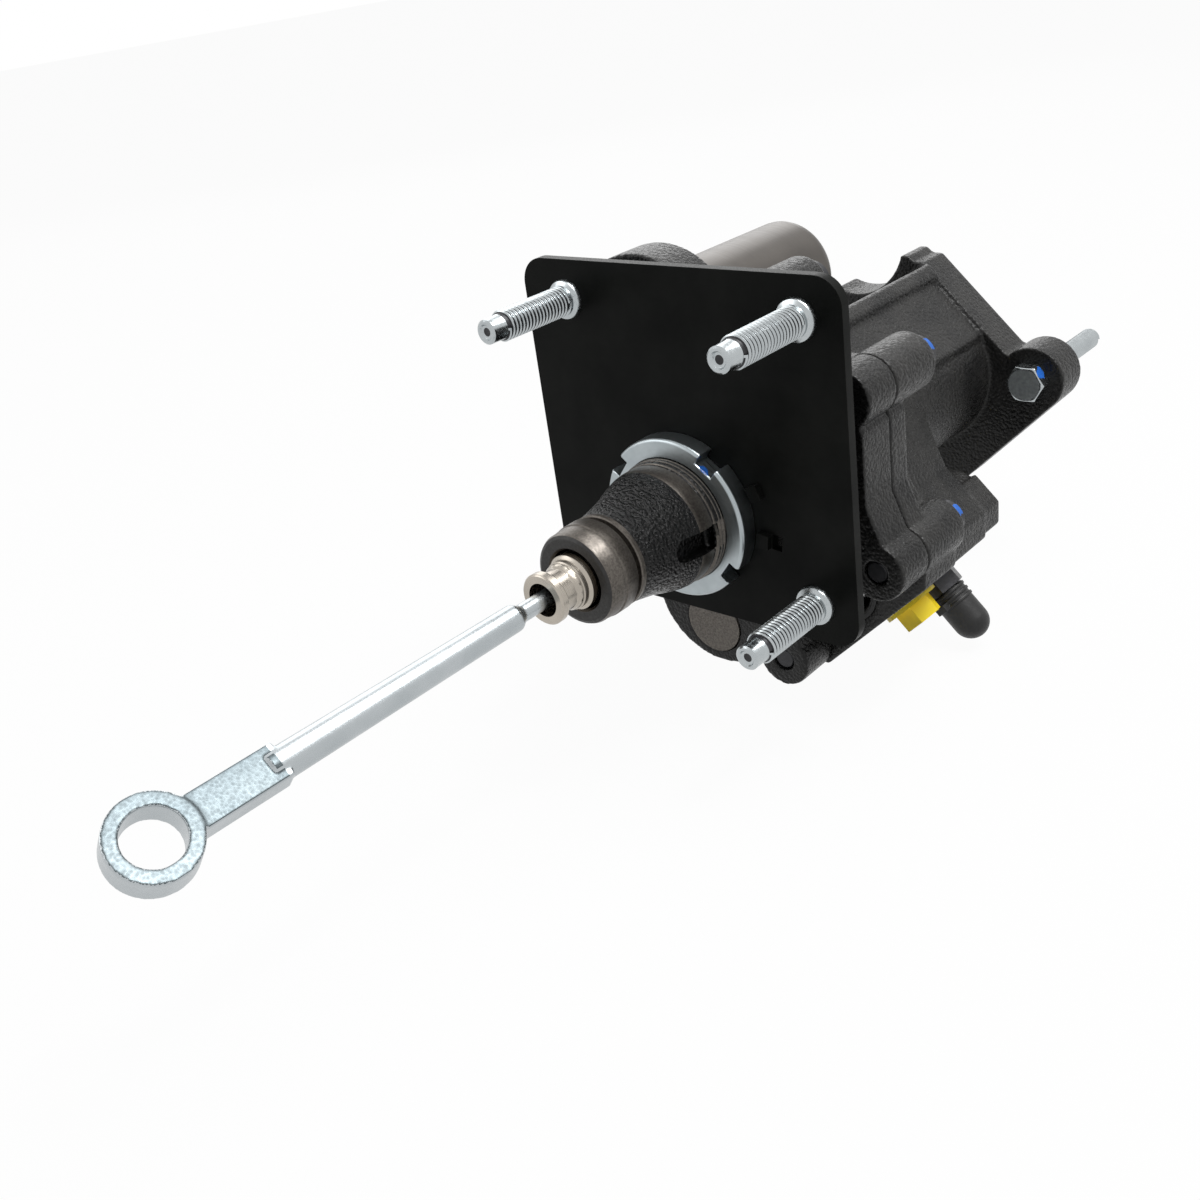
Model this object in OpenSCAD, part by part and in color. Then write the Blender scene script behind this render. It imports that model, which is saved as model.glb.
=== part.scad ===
// Hydraulic brake booster: firewall plate with four studs, a power section
// bolted up from two iron castings, a spool valve worked by a lever, a gas
// charged accumulator, and a long input rod with an eye for the brake pedal.
// Millimetres. The origin is the centre of the firewall stud pattern on the
// cabin face of the plate. +Y points forward to the master cylinder, +Z is up.

/* [Mounting plate] */
// Width of the plate
plate_width = 121.5; // [112:0.5:134]
// Height of the plate
plate_height = 117; // [112:0.5:130]
// Thickness of the plate
plate_thickness = 3.5; // [2.5:0.1:5]
// Radius of the plate's corners
plate_corner_r = 9; // [3:0.5:14]
// Sideways offset of the plate from the stud pattern
plate_shift = -1.7; // [-4:0.1:4]
// Height of the lock tabs pressed out of the plate beside the nut
lock_tab_height = 2.2; // [1:0.1:4]

/* [Firewall studs] */
// Stud spacing across
stud_span_x = 88.4; // [84:0.1:94]
// Stud spacing up and down
stud_span_z = 91; // [88:0.1:95]
// Thread diameter of the studs
stud_diameter = 10; // [8:0.5:12]
// Stud length in front of the plate
stud_length = 37.3; // [28:0.1:45]
// Length of the plain point on each stud
stud_point = 6; // [3:0.5:9]
// Diameter of the press-in stud head behind the plate
stud_head = 17; // [15:0.5:20]

/* [Snout and nut] */
// Booster axis, sideways from the stud pattern centre
snout_x = -4; // [-8:0.1:2]
// Booster axis, up from the stud pattern centre
snout_z = -22.7; // [-26:0.1:-19]
// Length of the snout in front of the plate
snout_length = 55; // [48:0.5:64]
// Outside diameter of the snout's thread
thread_diameter = 42; // [39:0.5:45]
// Diameter of the snout's turned nose
nose_diameter = 30.2; // [28:0.2:33]
// Bore at the mouth of the snout
mouth_bore = 19.6; // [19.2:0.1:21]
// Spanner nut outside diameter
nut_diameter = 55.2; // [52:0.2:58]
// Spanner nut thickness
nut_thickness = 7; // [5:0.5:9]
// Width of the four spanner slots
nut_slot_width = 7; // [4:0.5:9]
// Depth of the four spanner slots
nut_slot_depth = 3.8; // [2:0.2:5]
// Width of the key slot along the snout
key_width = 8; // [5:0.5:10]

/* [Castings] */
// Turn of the castings about the booster axis, degrees
clocking = 45; // [40:1:50]
// Length of the round shoulder between the plate and the cover
shoulder_length = 14.5; // [12:0.5:18]
// Thickness of the cover casting
cover_thickness = 16; // [14:0.5:19]
// Radius of the main disc of the castings
disc_radius = 50; // [48:0.5:54]
// Radius of the bolt lobes
lobe_radius = 9.8; // [8:0.1:11]
// Length of the bolt lobes on the housing
lobe_length = 24; // [20:0.5:28]
// Thickness of the housing's joint flange
joint_flange = 10; // [8:0.5:14]
// Radius of the power barrel outside
barrel_radius = 31; // [28:0.5:34]
// Length of the housing from the joint to the cylinder flange
barrel_length = 116; // [112:1:124]
// Diameter of the cover bolts
cover_bolt = 8; // [6:0.5:9]

/* [Master cylinder end] */
// Thickness of the flange that carries the master cylinder
cylinder_flange = 16; // [12:0.5:20]
// Spacing of the two master cylinder bolts
cylinder_bolt_span = 95; // [92:0.5:98]
// Diameter of the master cylinder bolts
cylinder_bolt = 8; // [7:0.5:10]
// Length of those bolts under the head
cylinder_bolt_length = 55; // [45:1:65]
// Radius of the two ears
ear_radius = 12.5; // [11:0.5:14]
// Diameter of the pilot recess for the master cylinder
pilot_diameter = 43; // [42:0.5:46]

/* [Accumulator] */
// Sideways place of the accumulator from the booster axis
accumulator_x = -26; // [-28:0.5:-24]
// Height of the accumulator above the booster axis
accumulator_z = 49.6; // [49:0.2:53]
// Outside diameter of the accumulator can
can_diameter = 38.6; // [36:0.2:40]
// Length of the can ahead of the joint
can_length = 72.5; // [60:0.5:85]
// Wall of the can
can_wall = 2.4; // [1.8:0.1:3.5]
// Outside radius of the cast boss that holds the can
boss_radius = 29.2; // [27:0.1:31]

/* [Valve and lever] */
// Distance from the booster axis to the spool valve
spool_offset = 51; // [49.5:0.5:53]
// Diameter of the spool valve
spool_diameter = 11.2; // [9:0.2:12]
// Outside diameter of the spool sleeve
sleeve_diameter = 19; // [17:0.2:20]
// Travel of the spool valve
spool_travel = 2.5; // [1.5:0.1:4]
// Swing of the lever each side of square, degrees
lever_swing = 18; // [14:0.5:19]
// Width of the lever
lever_width = 11; // [9:0.5:12]
// Thickness of the lever
lever_thickness = 6; // [4:0.5:7]
// Diameter of the pins at the lever's ends
lever_pin_d = 5; // [4:0.5:5.5]

/* [Power piston] */
// Diameter of the power piston
piston_diameter = 38; // [35:0.5:40]
// Length of the piston's sealing land
piston_land = 28; // [22:1:32]
// Diameter of the output rod
output_rod_d = 10; // [8:0.5:12]
// How far the output rod stands out of the master cylinder face at rest
output_rod_out = 4; // [1:0.5:10]
// Wire of the return spring
spring_wire = 2.4; // [1.6:0.2:3]
// Turns of the return spring
spring_turns = 7; // [5:1:9]

/* [Input plunger and rod] */
// Diameter of the input plunger
plunger_diameter = 17.8; // [17:0.1:18.4]
// Outside diameter of the cup's rim
cup_rim = 16.4; // [15:0.1:17]
// Opening of the cup
cup_opening = 10.8; // [10.4:0.1:11.4]
// How far the cup stands out of the snout
cup_reach = 14; // [12:0.5:18]
// Ball on the end of the input rod
ball_diameter = 10.4; // [9.6:0.1:10.8]
// Neck of the rod inside the cup
neck_diameter = 5.6; // [5:0.1:6]
// Diameter of the rod's shank at the cup
shank_small = 8.4; // [7.6:0.1:9]
// Diameter of the rod's shank at the flat bar
shank_large = 9.4; // [8.6:0.1:10]
// Distance from the plate to the eye of the rod
eye_distance = 201.8; // [170:0.1:230]
// Outside diameter of the eye
eye_outer = 23.8; // [21:0.2:27]
// Hole of the eye
eye_bore = 15.6; // [12:0.2:17]
// Thickness of the eye
eye_thickness = 8; // [6:0.2:10]
// Width of the flat bar behind the eye
bar_width = 10.4; // [9.4:0.1:12]
// Thickness of the flat bar
bar_thickness = 7.2; // [6:0.1:8]
// Turn of the eye about the rod, degrees up from level
eye_turn = 52; // [0:1:90]

/* [Ports] */
// Distance from the booster axis to the port face
port_face = 68; // [66:0.5:71]
// Diameter of the two pressure ports
port_diameter = 15; // [13:0.5:16]
// Depth of the two pressure ports
port_depth = 7.6; // [6:0.1:8]
// Diameter of the return hose nipple
nipple_diameter = 9.6; // [8:0.2:10.4]
// Reach of the return nipple from the port face
nipple_reach = 22; // [16:0.5:26]

/* [Hidden] */

$fn = 72;
// Running clearance of sliding pieces and of seated pieces, on the radius
run_gap = 0.05;
seat_gap = 0.1;
// Knurled band of the flange bolts, over their threads, on the radius
knurl = 0.3;
cut = 1;

// Stations along Y, from the plate forward
plate_back = plate_thickness;
cover_y = plate_back + shoulder_length;
joint_y = cover_y + cover_thickness;
joint_flange_y = joint_y + joint_flange;
lobe_y = joint_y + lobe_length;
inside_y = joint_y + 3;
cylinder_back_y = joint_y + barrel_length;
cylinder_face_y = cylinder_back_y + cylinder_flange;

// Bolt places around the joint, sideways and up from the booster axis
bolt_places = [[49.5, 37.8], [58.6, -18], [20.7, -60], [-48, -20], [12, 60]];
// Boss low on the left of the castings, and the plug in it
low_boss = [-5.9, -41.7];
low_boss_r = 26;
low_plug = [-8.1, -53];
low_plug_r = 11;
low_plug_t = 4;

// Lever and spool
half_throw = spool_offset * tan(lever_swing);
stroke = 2 * half_throw + spool_travel;
hinge_y = joint_y + 8;
drive_y = hinge_y - half_throw;
drive_slop = 0.45;
lever_half = lever_width / 2 / cos(lever_swing);
slot_half = lever_half + plunger_diameter / 2 * tan(lever_swing) + 1.2;
slot_width = lever_thickness + 0.6;
chamber_y = cover_y + 3.2;
chamber_end = drive_y + stroke + lever_half + 1;
chamber_half = lever_thickness / 2 + 4.5;
spool_r = spool_diameter / 2;
sleeve_r = sleeve_diameter / 2;
clevis_r = 8;
clevis_slot = lever_half + clevis_r * tan(lever_swing) + 0.6;
spool_chamber_end = hinge_y + clevis_slot + 4 + spool_travel;
sleeve_y = spool_chamber_end + 0.3;
block_end = joint_y + 78;
spool_plug_t = 6;
spool_ring_t = 1.2;
spool_plug_y = block_end - 2 - spool_ring_t - spool_plug_t;
spool_front = spool_plug_y - 12;

// Plunger, ball and rod
plunger_r = plunger_diameter / 2;
nose_y = drive_y + slot_half + 2.5;
mouth_y = -snout_length;
cup_y = mouth_y - cup_reach;
ball_y = mouth_y + 5;
ball_r = ball_diameter / 2;
bush_r = ball_r + 1.7;
bush_half = 4.5;
guide_y = ball_y + 36;
shoulder_y = cup_y - 12;
bar_y = -eye_distance + 37;

// Power piston and output rod
piston_r = piston_diameter / 2;
bore_r = piston_r + run_gap;
piston_back = nose_y + 2;
land_y = chamber_end + 3;
land_end = land_y + piston_land;
hollow_r = piston_r - 4.5;
hollow_y = land_y + 6;
ring_t = 1.4;
pilot_y = cylinder_face_y - 14;
seat_t = 2;
seat_y = pilot_y - ring_t - 2 - seat_t;
rod_pocket = 5;

// Accumulator
can_r = can_diameter / 2;
can_rim_y = cover_y + 6;
can_rim_t = 3;
can_end = joint_y + can_length;
can_bore = can_r - can_wall;
can_seal_r = can_bore + 1.6;
gas_piston_y = can_rim_y + 1;
gas_piston_t = 14;

// Ports on the port face, each [forward, across]
pump_port = [66, -9];
gear_port = [86, spool_offset];
gear_face = 21;
return_port = [85, -9];
port_r = port_diameter / 2;
plug_flange_r = 10.2;
plug_flange_t = 2.2;
plug_head = 6.8;
plug_hex = 13;
hex_height = 6;
fitting_hex = 14.5;
nipple_r = nipple_diameter / 2;
cap_wall = 1.8;

// Colours as the finishes look
black_iron = [0.10, 0.10, 0.10];
satin_black = [0.06, 0.06, 0.07];
zinc = [0.78, 0.80, 0.80];
nickel = [0.66, 0.62, 0.55];
steel = [0.55, 0.55, 0.55];
gunmetal = [0.33, 0.31, 0.29];
bare_iron = [0.38, 0.35, 0.32];
rubber = [0.05, 0.05, 0.05];
yellow = [0.96, 0.80, 0.08];
spring_steel = [0.35, 0.36, 0.38];

// Moves to the booster axis, at the cabin face of the plate
module on_axis() {
  translate([snout_x, 0, snout_z]) children();
}

// Turned frame of the castings: X runs out to the port face, Z across it
module clocked() {
  on_axis() rotate([0, clocking, 0]) children();
}

// Places children on the spool valve's axis
module on_spool() {
  clocked() translate([spool_offset, 0, 0]) children();
}

// Solid of revolution about the Y axis, from points [radius, y]
module turned(points) {
  rotate([-90, 0, 0]) rotate_extrude() polygon(points);
}

// Plain cylinder along Y from y0 to y1
module rod_y(r, y0, y1) {
  translate([0, y0, 0]) rotate([-90, 0, 0]) cylinder(r = r, h = y1 - y0);
}

// Ring along Y
module ring_y(r_out, r_in, y0, y1) {
  difference() {
    rod_y(r_out, y0, y1);
    rod_y(r_in, y0 - cut, y1 + cut);
  }
}

// Outline drawn sideways and up, thickened from y0 to y1
module slab(y0, y1) {
  translate([0, y1, 0]) rotate([90, 0, 0]) linear_extrude(y1 - y0) children();
}

// Round section ring about the Y axis
module o_ring(r_mid, wire, y_mid) {
  translate([0, y_mid, 0]) rotate([-90, 0, 0]) rotate_extrude()
    translate([r_mid, 0]) circle(d = wire, $fn = 32);
}

// Helical spring along Y, a swept tube with ground-flat ends left open
module coil(r_mid, wire, y0, y1, turns) {
  sides = 8;
  per_turn = 18;
  steps = per_turn * turns;
  pitch = (y1 - y0 - wire) / turns;
  function along(i) = y0 + wire / 2 + pitch * i / per_turn;
  function spot(i, j) = let (a = 360 * i / per_turn, b = 360 * j / sides)
    [(r_mid + wire / 2 * cos(b)) * cos(a), along(i) + wire / 2 * sin(b),
     (r_mid + wire / 2 * cos(b)) * sin(a)];
  pts = [for (i = [0:steps]) for (j = [0:sides - 1]) spot(i, j)];
  sides_faces = [for (i = [0:steps - 1]) for (j = [0:sides - 1]) let (k = (j + 1) % sides)
    [i * sides + j, (i + 1) * sides + j, (i + 1) * sides + k, i * sides + k]];
  start = [[for (j = [0:sides - 1]) j]];
  finish = [[for (j = [sides - 1:-1:0]) steps * sides + j]];
  polyhedron(points = pts, faces = concat(sides_faces, start, finish), convexity = 10);
}

module mounting_plate() {
  color(satin_black) difference() {
    union() {
      slab(0, plate_thickness) translate([plate_shift, 0]) rounded_rectangle();
      for (a = [22.4, -7]) on_axis() rotate([0, -a, 0]) lock_tab();
    }
    on_axis() difference() {
      rod_y(thread_diameter / 2 + 0.3, -cut, plate_back + cut);
      translate([thread_diameter / 2 - 3.4, -2 * cut, -key_width / 2 + 0.3])
        cube([6, plate_back + 4 * cut, key_width - 0.6]);
    }
    on_axis() rotate([0, 7, 0]) translate([lock_tab_x() + 4.6, -cut - lock_tab_height, -2.6])
      cube([3.6, plate_thickness + lock_tab_height + 2 * cut, 5.2]);
    at_studs() rod_y(stud_diameter / 2 + seat_gap, -cut, plate_back + cut);
  }
}

// Outline of the plate with round corners
module rounded_rectangle() {
  w = plate_width / 2 - plate_corner_r;
  h = plate_height / 2 - plate_corner_r;
  square([2 * w, plate_height], center = true);
  square([plate_width, 2 * h], center = true);
  for (x = [-w, w]) for (z = [-h, h]) translate([x, z]) circle(plate_corner_r);
}

function lock_tab_x() = nut_diameter / 2 + 1.6;

// Tab pressed up beside the nut, so it can be staked into a slot
module lock_tab() {
  translate([lock_tab_x(), -lock_tab_height, -2.4])
    cube([4.4, lock_tab_height + plate_thickness / 2, 4.8]);
}

module at_studs() {
  for (x = [-1, 1]) for (z = [-1, 1])
    translate([x * stud_span_x / 2, 0, z * stud_span_z / 2]) children();
}

module firewall_studs() {
  r = stud_diameter / 2;
  color(zinc) at_studs() turned([
    [0, -stud_length], [r * 0.66, -stud_length], [r * 0.78, -stud_length + 0.8],
    [r * 0.78, -stud_length + stud_point], [r, -stud_length + stud_point + 1.2], [r, -1.1],
    [r + 1.7, -1.1], [r + 1.7, -0.05], [r, -0.05], [r, plate_back + 0.05],
    [stud_head / 2, plate_back + 0.05], [stud_head / 2, plate_back + 2.4],
    [stud_head / 2 - 0.6, plate_back + 3], [0, plate_back + 3]
  ]);
}

module spanner_nut() {
  r = nut_diameter / 2;
  color(zinc) on_axis() difference() {
    turned([
      [thread_diameter / 2 + seat_gap, 0], [r, 0], [r, -nut_thickness + 0.8],
      [r - 0.8, -nut_thickness], [thread_diameter / 2 + seat_gap, -nut_thickness]
    ]);
    for (k = [0:3]) rotate([0, -53.4 - 90 * k, 0])
      translate([r - nut_slot_depth, -nut_thickness - cut, -nut_slot_width / 2])
        cube([nut_slot_depth + cut, nut_thickness + 2 * cut, nut_slot_width]);
  }
}

// Outline of the joint between the two castings, without the accumulator boss
module joint_outline() {
  circle(disc_radius);
  translate(low_boss) circle(low_boss_r);
  for (p = bolt_places) {
    translate(p) circle(lobe_radius);
    web(p);
  }
  polygon([[0, 44], [45, 44], [56.3, 28], [56.3, 4], [62, -10], [40, -40], [0, -40]]);
}

// Web that ties one bolt lobe to the disc
module web(p) {
  d = norm(p);
  rotate(atan2(p[1], p[0])) polygon([
    [0, -lobe_radius * 1.9], [d - lobe_radius * 0.6, -lobe_radius * 0.97],
    [d, -lobe_radius * 0.9], [d, lobe_radius * 0.9],
    [d - lobe_radius * 0.6, lobe_radius * 0.97], [0, lobe_radius * 1.9]
  ]);
}

// Room for the lever, from the booster axis out to the spool, grown by g
module lever_room(main_r, g = 0) {
  circle(main_r + g);
  translate([0, -chamber_half - g]) square([spool_offset, 2 * (chamber_half + g)]);
  translate([spool_offset, 0]) circle(clevis_r + 2 + g);
}

// Solid of the lever room between two stations
module lever_room_cut(main_r, y0, y1, g = 0) {
  clocked() slab(y0, y1) lever_room(main_r, g);
}

module booster_cover() {
  nose_r = nose_diameter / 2;
  thread_r = thread_diameter / 2;
  color(black_iron) difference() {
    union() {
      on_axis() turned([
        [0, mouth_y], [nose_r - 1.2, mouth_y], [nose_r - 0.2, mouth_y + 1], [nose_r, mouth_y + 6.6],
        [nose_r + 0.3, mouth_y + 7], [nose_r + 0.3, mouth_y + 12], [nose_r - 2, mouth_y + 12.3],
        [nose_r - 2, mouth_y + 14], [nose_r + 0.3, mouth_y + 14.2], [nose_r + 0.3, mouth_y + 16],
        [nose_r + 1.8, -30], [thread_r - 2.6, -25], [thread_r - 0.7, -18], [thread_r - 0.7, -11],
        [thread_r, -10], [thread_r, plate_back + 0.05], [thread_r + 9, plate_back + 0.05],
        [thread_r + 9, cover_y + 1], [0, cover_y + 1]
      ]);
      on_axis() slab(cover_y, joint_y) {
        joint_outline();
        translate([accumulator_x, accumulator_z]) circle(boss_radius);
      }
    }
    on_axis() rod_y(mouth_bore / 2, mouth_y - cut, guide_y);
    on_axis() rod_y(plunger_r + run_gap, guide_y - cut, chamber_y + cut);
    on_axis() ring_y(plunger_r + 2.4, plunger_r - cut, 4, 8.2);
    on_axis() translate([thread_r - 4, -22, -key_width / 2])
      cube([8, 22 + plate_back, key_width]);
    lever_room_cut(plunger_r + 4, chamber_y, joint_y + cut);
    on_axis() translate([accumulator_x, 0, accumulator_z]) {
      rod_y(can_r + 1.8, can_rim_y, joint_y + cut);
      ring_y(can_r + 2.8, can_r, can_rim_y + can_rim_t, can_rim_y + can_rim_t + 1.6);
      ring_y(can_seal_r + 1.3, can_seal_r - 1.3, can_rim_y - 2.3, can_rim_y + cut);
      rod_y(can_bore - 3, can_rim_y - 2.6, joint_y);
    }
    on_axis() for (p = bolt_places) translate([p[0], 0, p[1]])
      rod_y(cover_bolt / 2 + seat_gap, cover_y - cut, joint_y + cut);
    on_axis() translate([low_plug[0], 0, low_plug[1]])
      rod_y(low_plug_r + seat_gap, cover_y - cut, cover_y + low_plug_t);
    on_axis() translate([low_plug[0], 0, low_plug[1]])
      rod_y(low_plug_r - 2, cover_y, joint_y - 4);
  }
}

module cover_seal() {
  color(rubber) difference() {
    lever_room_cut(plunger_r + 13, joint_y + 0.02, joint_y + 0.95, 2.6);
    lever_room_cut(plunger_r + 13, joint_y - 2, joint_y + 2, 1.2);
  }
}

module booster_housing() {
  color(black_iron) difference() {
    union() {
      on_axis() slab(joint_y, joint_flange_y) {
        joint_outline();
        rotate(-clocking) side_section();
      }
      on_axis() for (p = bolt_places) translate([p[0], 0, p[1]])
        rod_y(lobe_radius, inside_y, lobe_y);
      on_axis() translate([low_boss[0], 0, low_boss[1]])
        rod_y(low_boss_r - 3, inside_y, lobe_y - 0.6);
      on_axis() turned([
        [0, inside_y], [disc_radius - 6, inside_y], [disc_radius - 8, joint_flange_y + 0.5],
        [barrel_radius + 6, joint_flange_y + 12], [barrel_radius, joint_flange_y + 24],
        [barrel_radius, cylinder_face_y - 1], [0, cylinder_face_y - 1]
      ]);
      clocked() slab(inside_y, cylinder_back_y + 1) top_section();
      clocked() slab(inside_y, joint_y + 66) port_section();
      clocked() slab(inside_y, joint_y + 21.2) side_section();
      clocked() slab(inside_y, block_end) block_section();
      on_spool() rod_y(sleeve_r + 4, inside_y, block_end - 0.4);
      on_axis() slab(cylinder_back_y, cylinder_face_y) cylinder_outline();
    }
    housing_cuts();
  }
}

// Flat and rib along the top of the barrel, [out, across] in the turned frame
module top_section() {
  flat = barrel_radius + 0.5;
  polygon([[-26, 10], [-26, flat + 1.5], [-24.5, flat + 3], [-20, flat + 3], [-18, flat],
    [8, flat], [14, flat - 6], [14, 10]]);
}

// Pad that carries the port face
module port_section() {
  polygon([[10, -26], [36, -gear_face], [spool_offset + 9, -gear_face], [port_face - 1.2, -19.6],
    [port_face, -18.2], [port_face, 9], [port_face - 7, 16], [40, 16], [20, 24], [10, 24]]);
}

// Foot of the pad, beside the two bolt lobes
module side_section() {
  polygon([[20, -40], [46, -34], [port_face - 4, -32], [port_face, -28], [port_face, 26],
    [port_face - 4, 30], [46, 32], [20, 40]]);
}

// Square block around the spool bore, with its planed corner
module block_section() {
  half = sleeve_r + 5.5;
  polygon([[spool_offset - 3, -half], [port_face - 1, -half], [port_face - 1, half - 6],
    [port_face - 7, half], [spool_offset - 3, half]]);
}

// Outline of the flange for the master cylinder
module cylinder_outline() {
  for (s = [0, 180]) rotate(s) {
    translate([cylinder_bolt_span / 2, 0]) circle(ear_radius);
    rotate(-clocking) cylinder_quarter();
  }
}

// One half of that flange, [out to the ports, across]
module cylinder_quarter() {
  ear = cylinder_bolt_span / 2 * cos(45);
  edge = ear + ear_radius;
  side = barrel_radius + 2;
  polygon([[-side + 6, side], [ear - 14, side], [ear - 6, side + 4], [ear, edge], [ear + 6, ear + 6],
    [edge, ear], [edge, -17], [side, -side + 3], [0, -side], [-side, 0], [-side, side - 6]]);
}

// Everything that is drilled, bored or milled out of the housing
module housing_cuts() {
  lever_room_cut(plunger_r + 13, joint_y - cut, lobe_y - 6);
  clocked() slab(joint_y - cut, chamber_end)
    translate([0, -chamber_half]) square([spool_offset - clevis_r, 2 * chamber_half]);
  on_axis() rod_y(bore_r, joint_y - cut, pilot_y + cut);
  on_axis() rod_y(pilot_diameter / 2, pilot_y, cylinder_face_y + cut);
  on_axis() ring_y(bore_r + 1.4, bore_r - cut, seat_y + seat_t, seat_y + seat_t + ring_t + 0.1);
  on_axis() ring_y(bore_r + 2.6, bore_r - cut, seat_y - 0.05, seat_y + seat_t);
  on_spool() rod_y(sleeve_r + seat_gap, joint_y - cut, block_end + cut);
  on_spool() rod_y(clevis_r + 2, joint_y - 2 * cut, spool_chamber_end);
  on_spool() ring_y(sleeve_r + 1.3, sleeve_r - cut, spool_plug_y + spool_plug_t,
    spool_plug_y + spool_plug_t + spool_ring_t + 0.1);
  on_axis() translate([accumulator_x, 0, accumulator_z])
    rod_y(can_r + 2, joint_y - cut, cylinder_face_y);
  on_axis() for (p = bolt_places) translate([p[0], 0, p[1]])
    rod_y(cover_bolt / 2 + seat_gap, joint_y - cut, lobe_y + cut);
  on_axis() for (s = [-1, 1]) translate([s * cylinder_bolt_span / 2, 0, 0])
    rod_y(cylinder_bolt / 2 + knurl + seat_gap, cylinder_back_y - cut, cylinder_face_y + cut);
  on_axis() for (s = [-1, 1]) translate([s * cylinder_bolt_span / 2, 0, 0])
    rod_y(ear_radius - 1.6, cylinder_back_y - 30, cylinder_back_y);
  for (k = [0:1]) at_pressure_port(k) {
    translate([-port_depth, 0, 0]) rotate([0, 90, 0]) cylinder(r = port_r, h = port_depth + cut);
    translate([-port_depth - 7, 0, 0]) rotate([0, 90, 0]) cylinder(d = 4.6, h = 8);
  }
  at_port(return_port) translate([port_face - 2.1, 0, 0]) rotate([0, 90, 0])
    cylinder(r = nipple_r + 2.3, h = 2.1 + cut);
  at_port(return_port) translate([port_face - 9, 0, 0]) rotate([0, 90, 0])
    cylinder(r = nipple_r + 0.6, h = 9 + cut);
  difference() {
    lever_room_cut(plunger_r + 13, joint_y - cut, joint_y + 1, 2.7);
    lever_room_cut(plunger_r + 13, joint_y - 2, joint_y + 2, 1.1);
  }
}

// Frame of a port on the port face: X runs out of it from the booster axis
module at_port(p) {
  clocked() translate([0, p[0], p[1]]) children();
}

// Frame of a pressure port with its mouth at X = 0: pump line, then gear line
module at_pressure_port(k) {
  if (k == 0) at_port(pump_port) translate([port_face, 0, 0]) children();
  if (k == 1) clocked() translate([gear_port[1], gear_port[0], -gear_face]) rotate([0, 90, 0]) children();
}

module cover_bolts() {
  r = cover_bolt / 2;
  color(black_iron) on_axis() for (p = bolt_places) translate([p[0], 0, p[1]]) difference() {
    turned([
      [0, cover_y + 0.8], [r - 0.8, cover_y + 0.8], [r, cover_y + 1.6], [r, lobe_y],
      [r + 2.6, lobe_y], [r + 2.6, lobe_y + 1.4], [r + 2.4, lobe_y + 1.9],
      [r + 2.4, lobe_y + 6], [r + 1.8, lobe_y + 6.5], [0, lobe_y + 6.5]
    ]);
    translate([0, lobe_y + 3.5, 0]) rotate([-90, 0, 0]) cylinder(d = r * 1.9, h = 4, $fn = 6);
  }
}

module master_cylinder_bolts() {
  r = cylinder_bolt / 2;
  color(zinc) on_axis() for (s = [-1, 1]) translate([s * cylinder_bolt_span / 2, 0, 0]) {
    rod_y(r + knurl, cylinder_back_y - 1, cylinder_face_y + 0.4);
    rod_y(r, cylinder_back_y, cylinder_back_y + cylinder_bolt_length - 1.2);
    translate([0, cylinder_back_y + cylinder_bolt_length - 1.2, 0]) rotate([-90, 0, 0])
      cylinder(r1 = r, r2 = r - 1, h = 1.2);
    intersection() {
      translate([0, cylinder_back_y - r * 1.45, 0]) rotate([-90, 0, 0])
        cylinder(d = r * 3.75, h = r * 1.45, $fn = 6);
      turned([
        [0, cylinder_back_y - r * 1.45], [r * 1.52, cylinder_back_y - r * 1.45],
        [r * 1.95, cylinder_back_y - r * 1.2], [r * 1.95, cylinder_back_y], [0, cylinder_back_y]
      ]);
    }
  }
}

module accumulator_can() {
  color(gunmetal) on_axis() translate([accumulator_x, 0, accumulator_z]) turned([
    [can_bore, can_rim_y + 0.05], [can_r + 1.6, can_rim_y + 0.05],
    [can_r + 1.6, can_rim_y + can_rim_t], [can_r, can_rim_y + can_rim_t],
    [can_r, can_end - 3], [can_r - 0.9, can_end - 0.9], [can_r - 3, can_end], [0, can_end],
    [0, can_end - can_wall], [can_bore - 1.5, can_end - can_wall], [can_bore, can_end - can_wall - 1.5]
  ]);
}

module accumulator_ring() {
  color(spring_steel) on_axis() translate([accumulator_x, 0, accumulator_z])
    ring_y(can_r + 2.7, can_r + 0.15, can_rim_y + can_rim_t + 0.05, can_rim_y + can_rim_t + 1.5);
}

module accumulator_seal() {
  color(rubber) on_axis() translate([accumulator_x, 0, accumulator_z])
    o_ring(can_seal_r, 2.3, can_rim_y - 1.12);
}

module accumulator_piston() {
  r = can_bore - run_gap;
  color(steel) on_axis() translate([accumulator_x, 0, accumulator_z]) difference() {
    turned([
      [0, gas_piston_y], [r - 1, gas_piston_y], [r, gas_piston_y + 1],
      [r, gas_piston_y + 5], [r - 2, gas_piston_y + 5], [r - 2, gas_piston_y + 8], [r, gas_piston_y + 8],
      [r, gas_piston_y + gas_piston_t], [0, gas_piston_y + gas_piston_t]
    ]);
    rod_y(r - 5, gas_piston_y + 5, gas_piston_y + gas_piston_t + cut);
  }
}

module piston_ring() {
  r = can_bore - run_gap;
  color(rubber) on_axis() translate([accumulator_x, 0, accumulator_z])
    ring_y(r, r - 1.95, gas_piston_y + 5.1, gas_piston_y + 7.9);
}

module gallery_plug() {
  color(bare_iron) on_axis() translate([low_plug[0], 0, low_plug[1]])
    rod_y(low_plug_r, cover_y - 0.2, cover_y + low_plug_t - 0.05);
}

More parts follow.
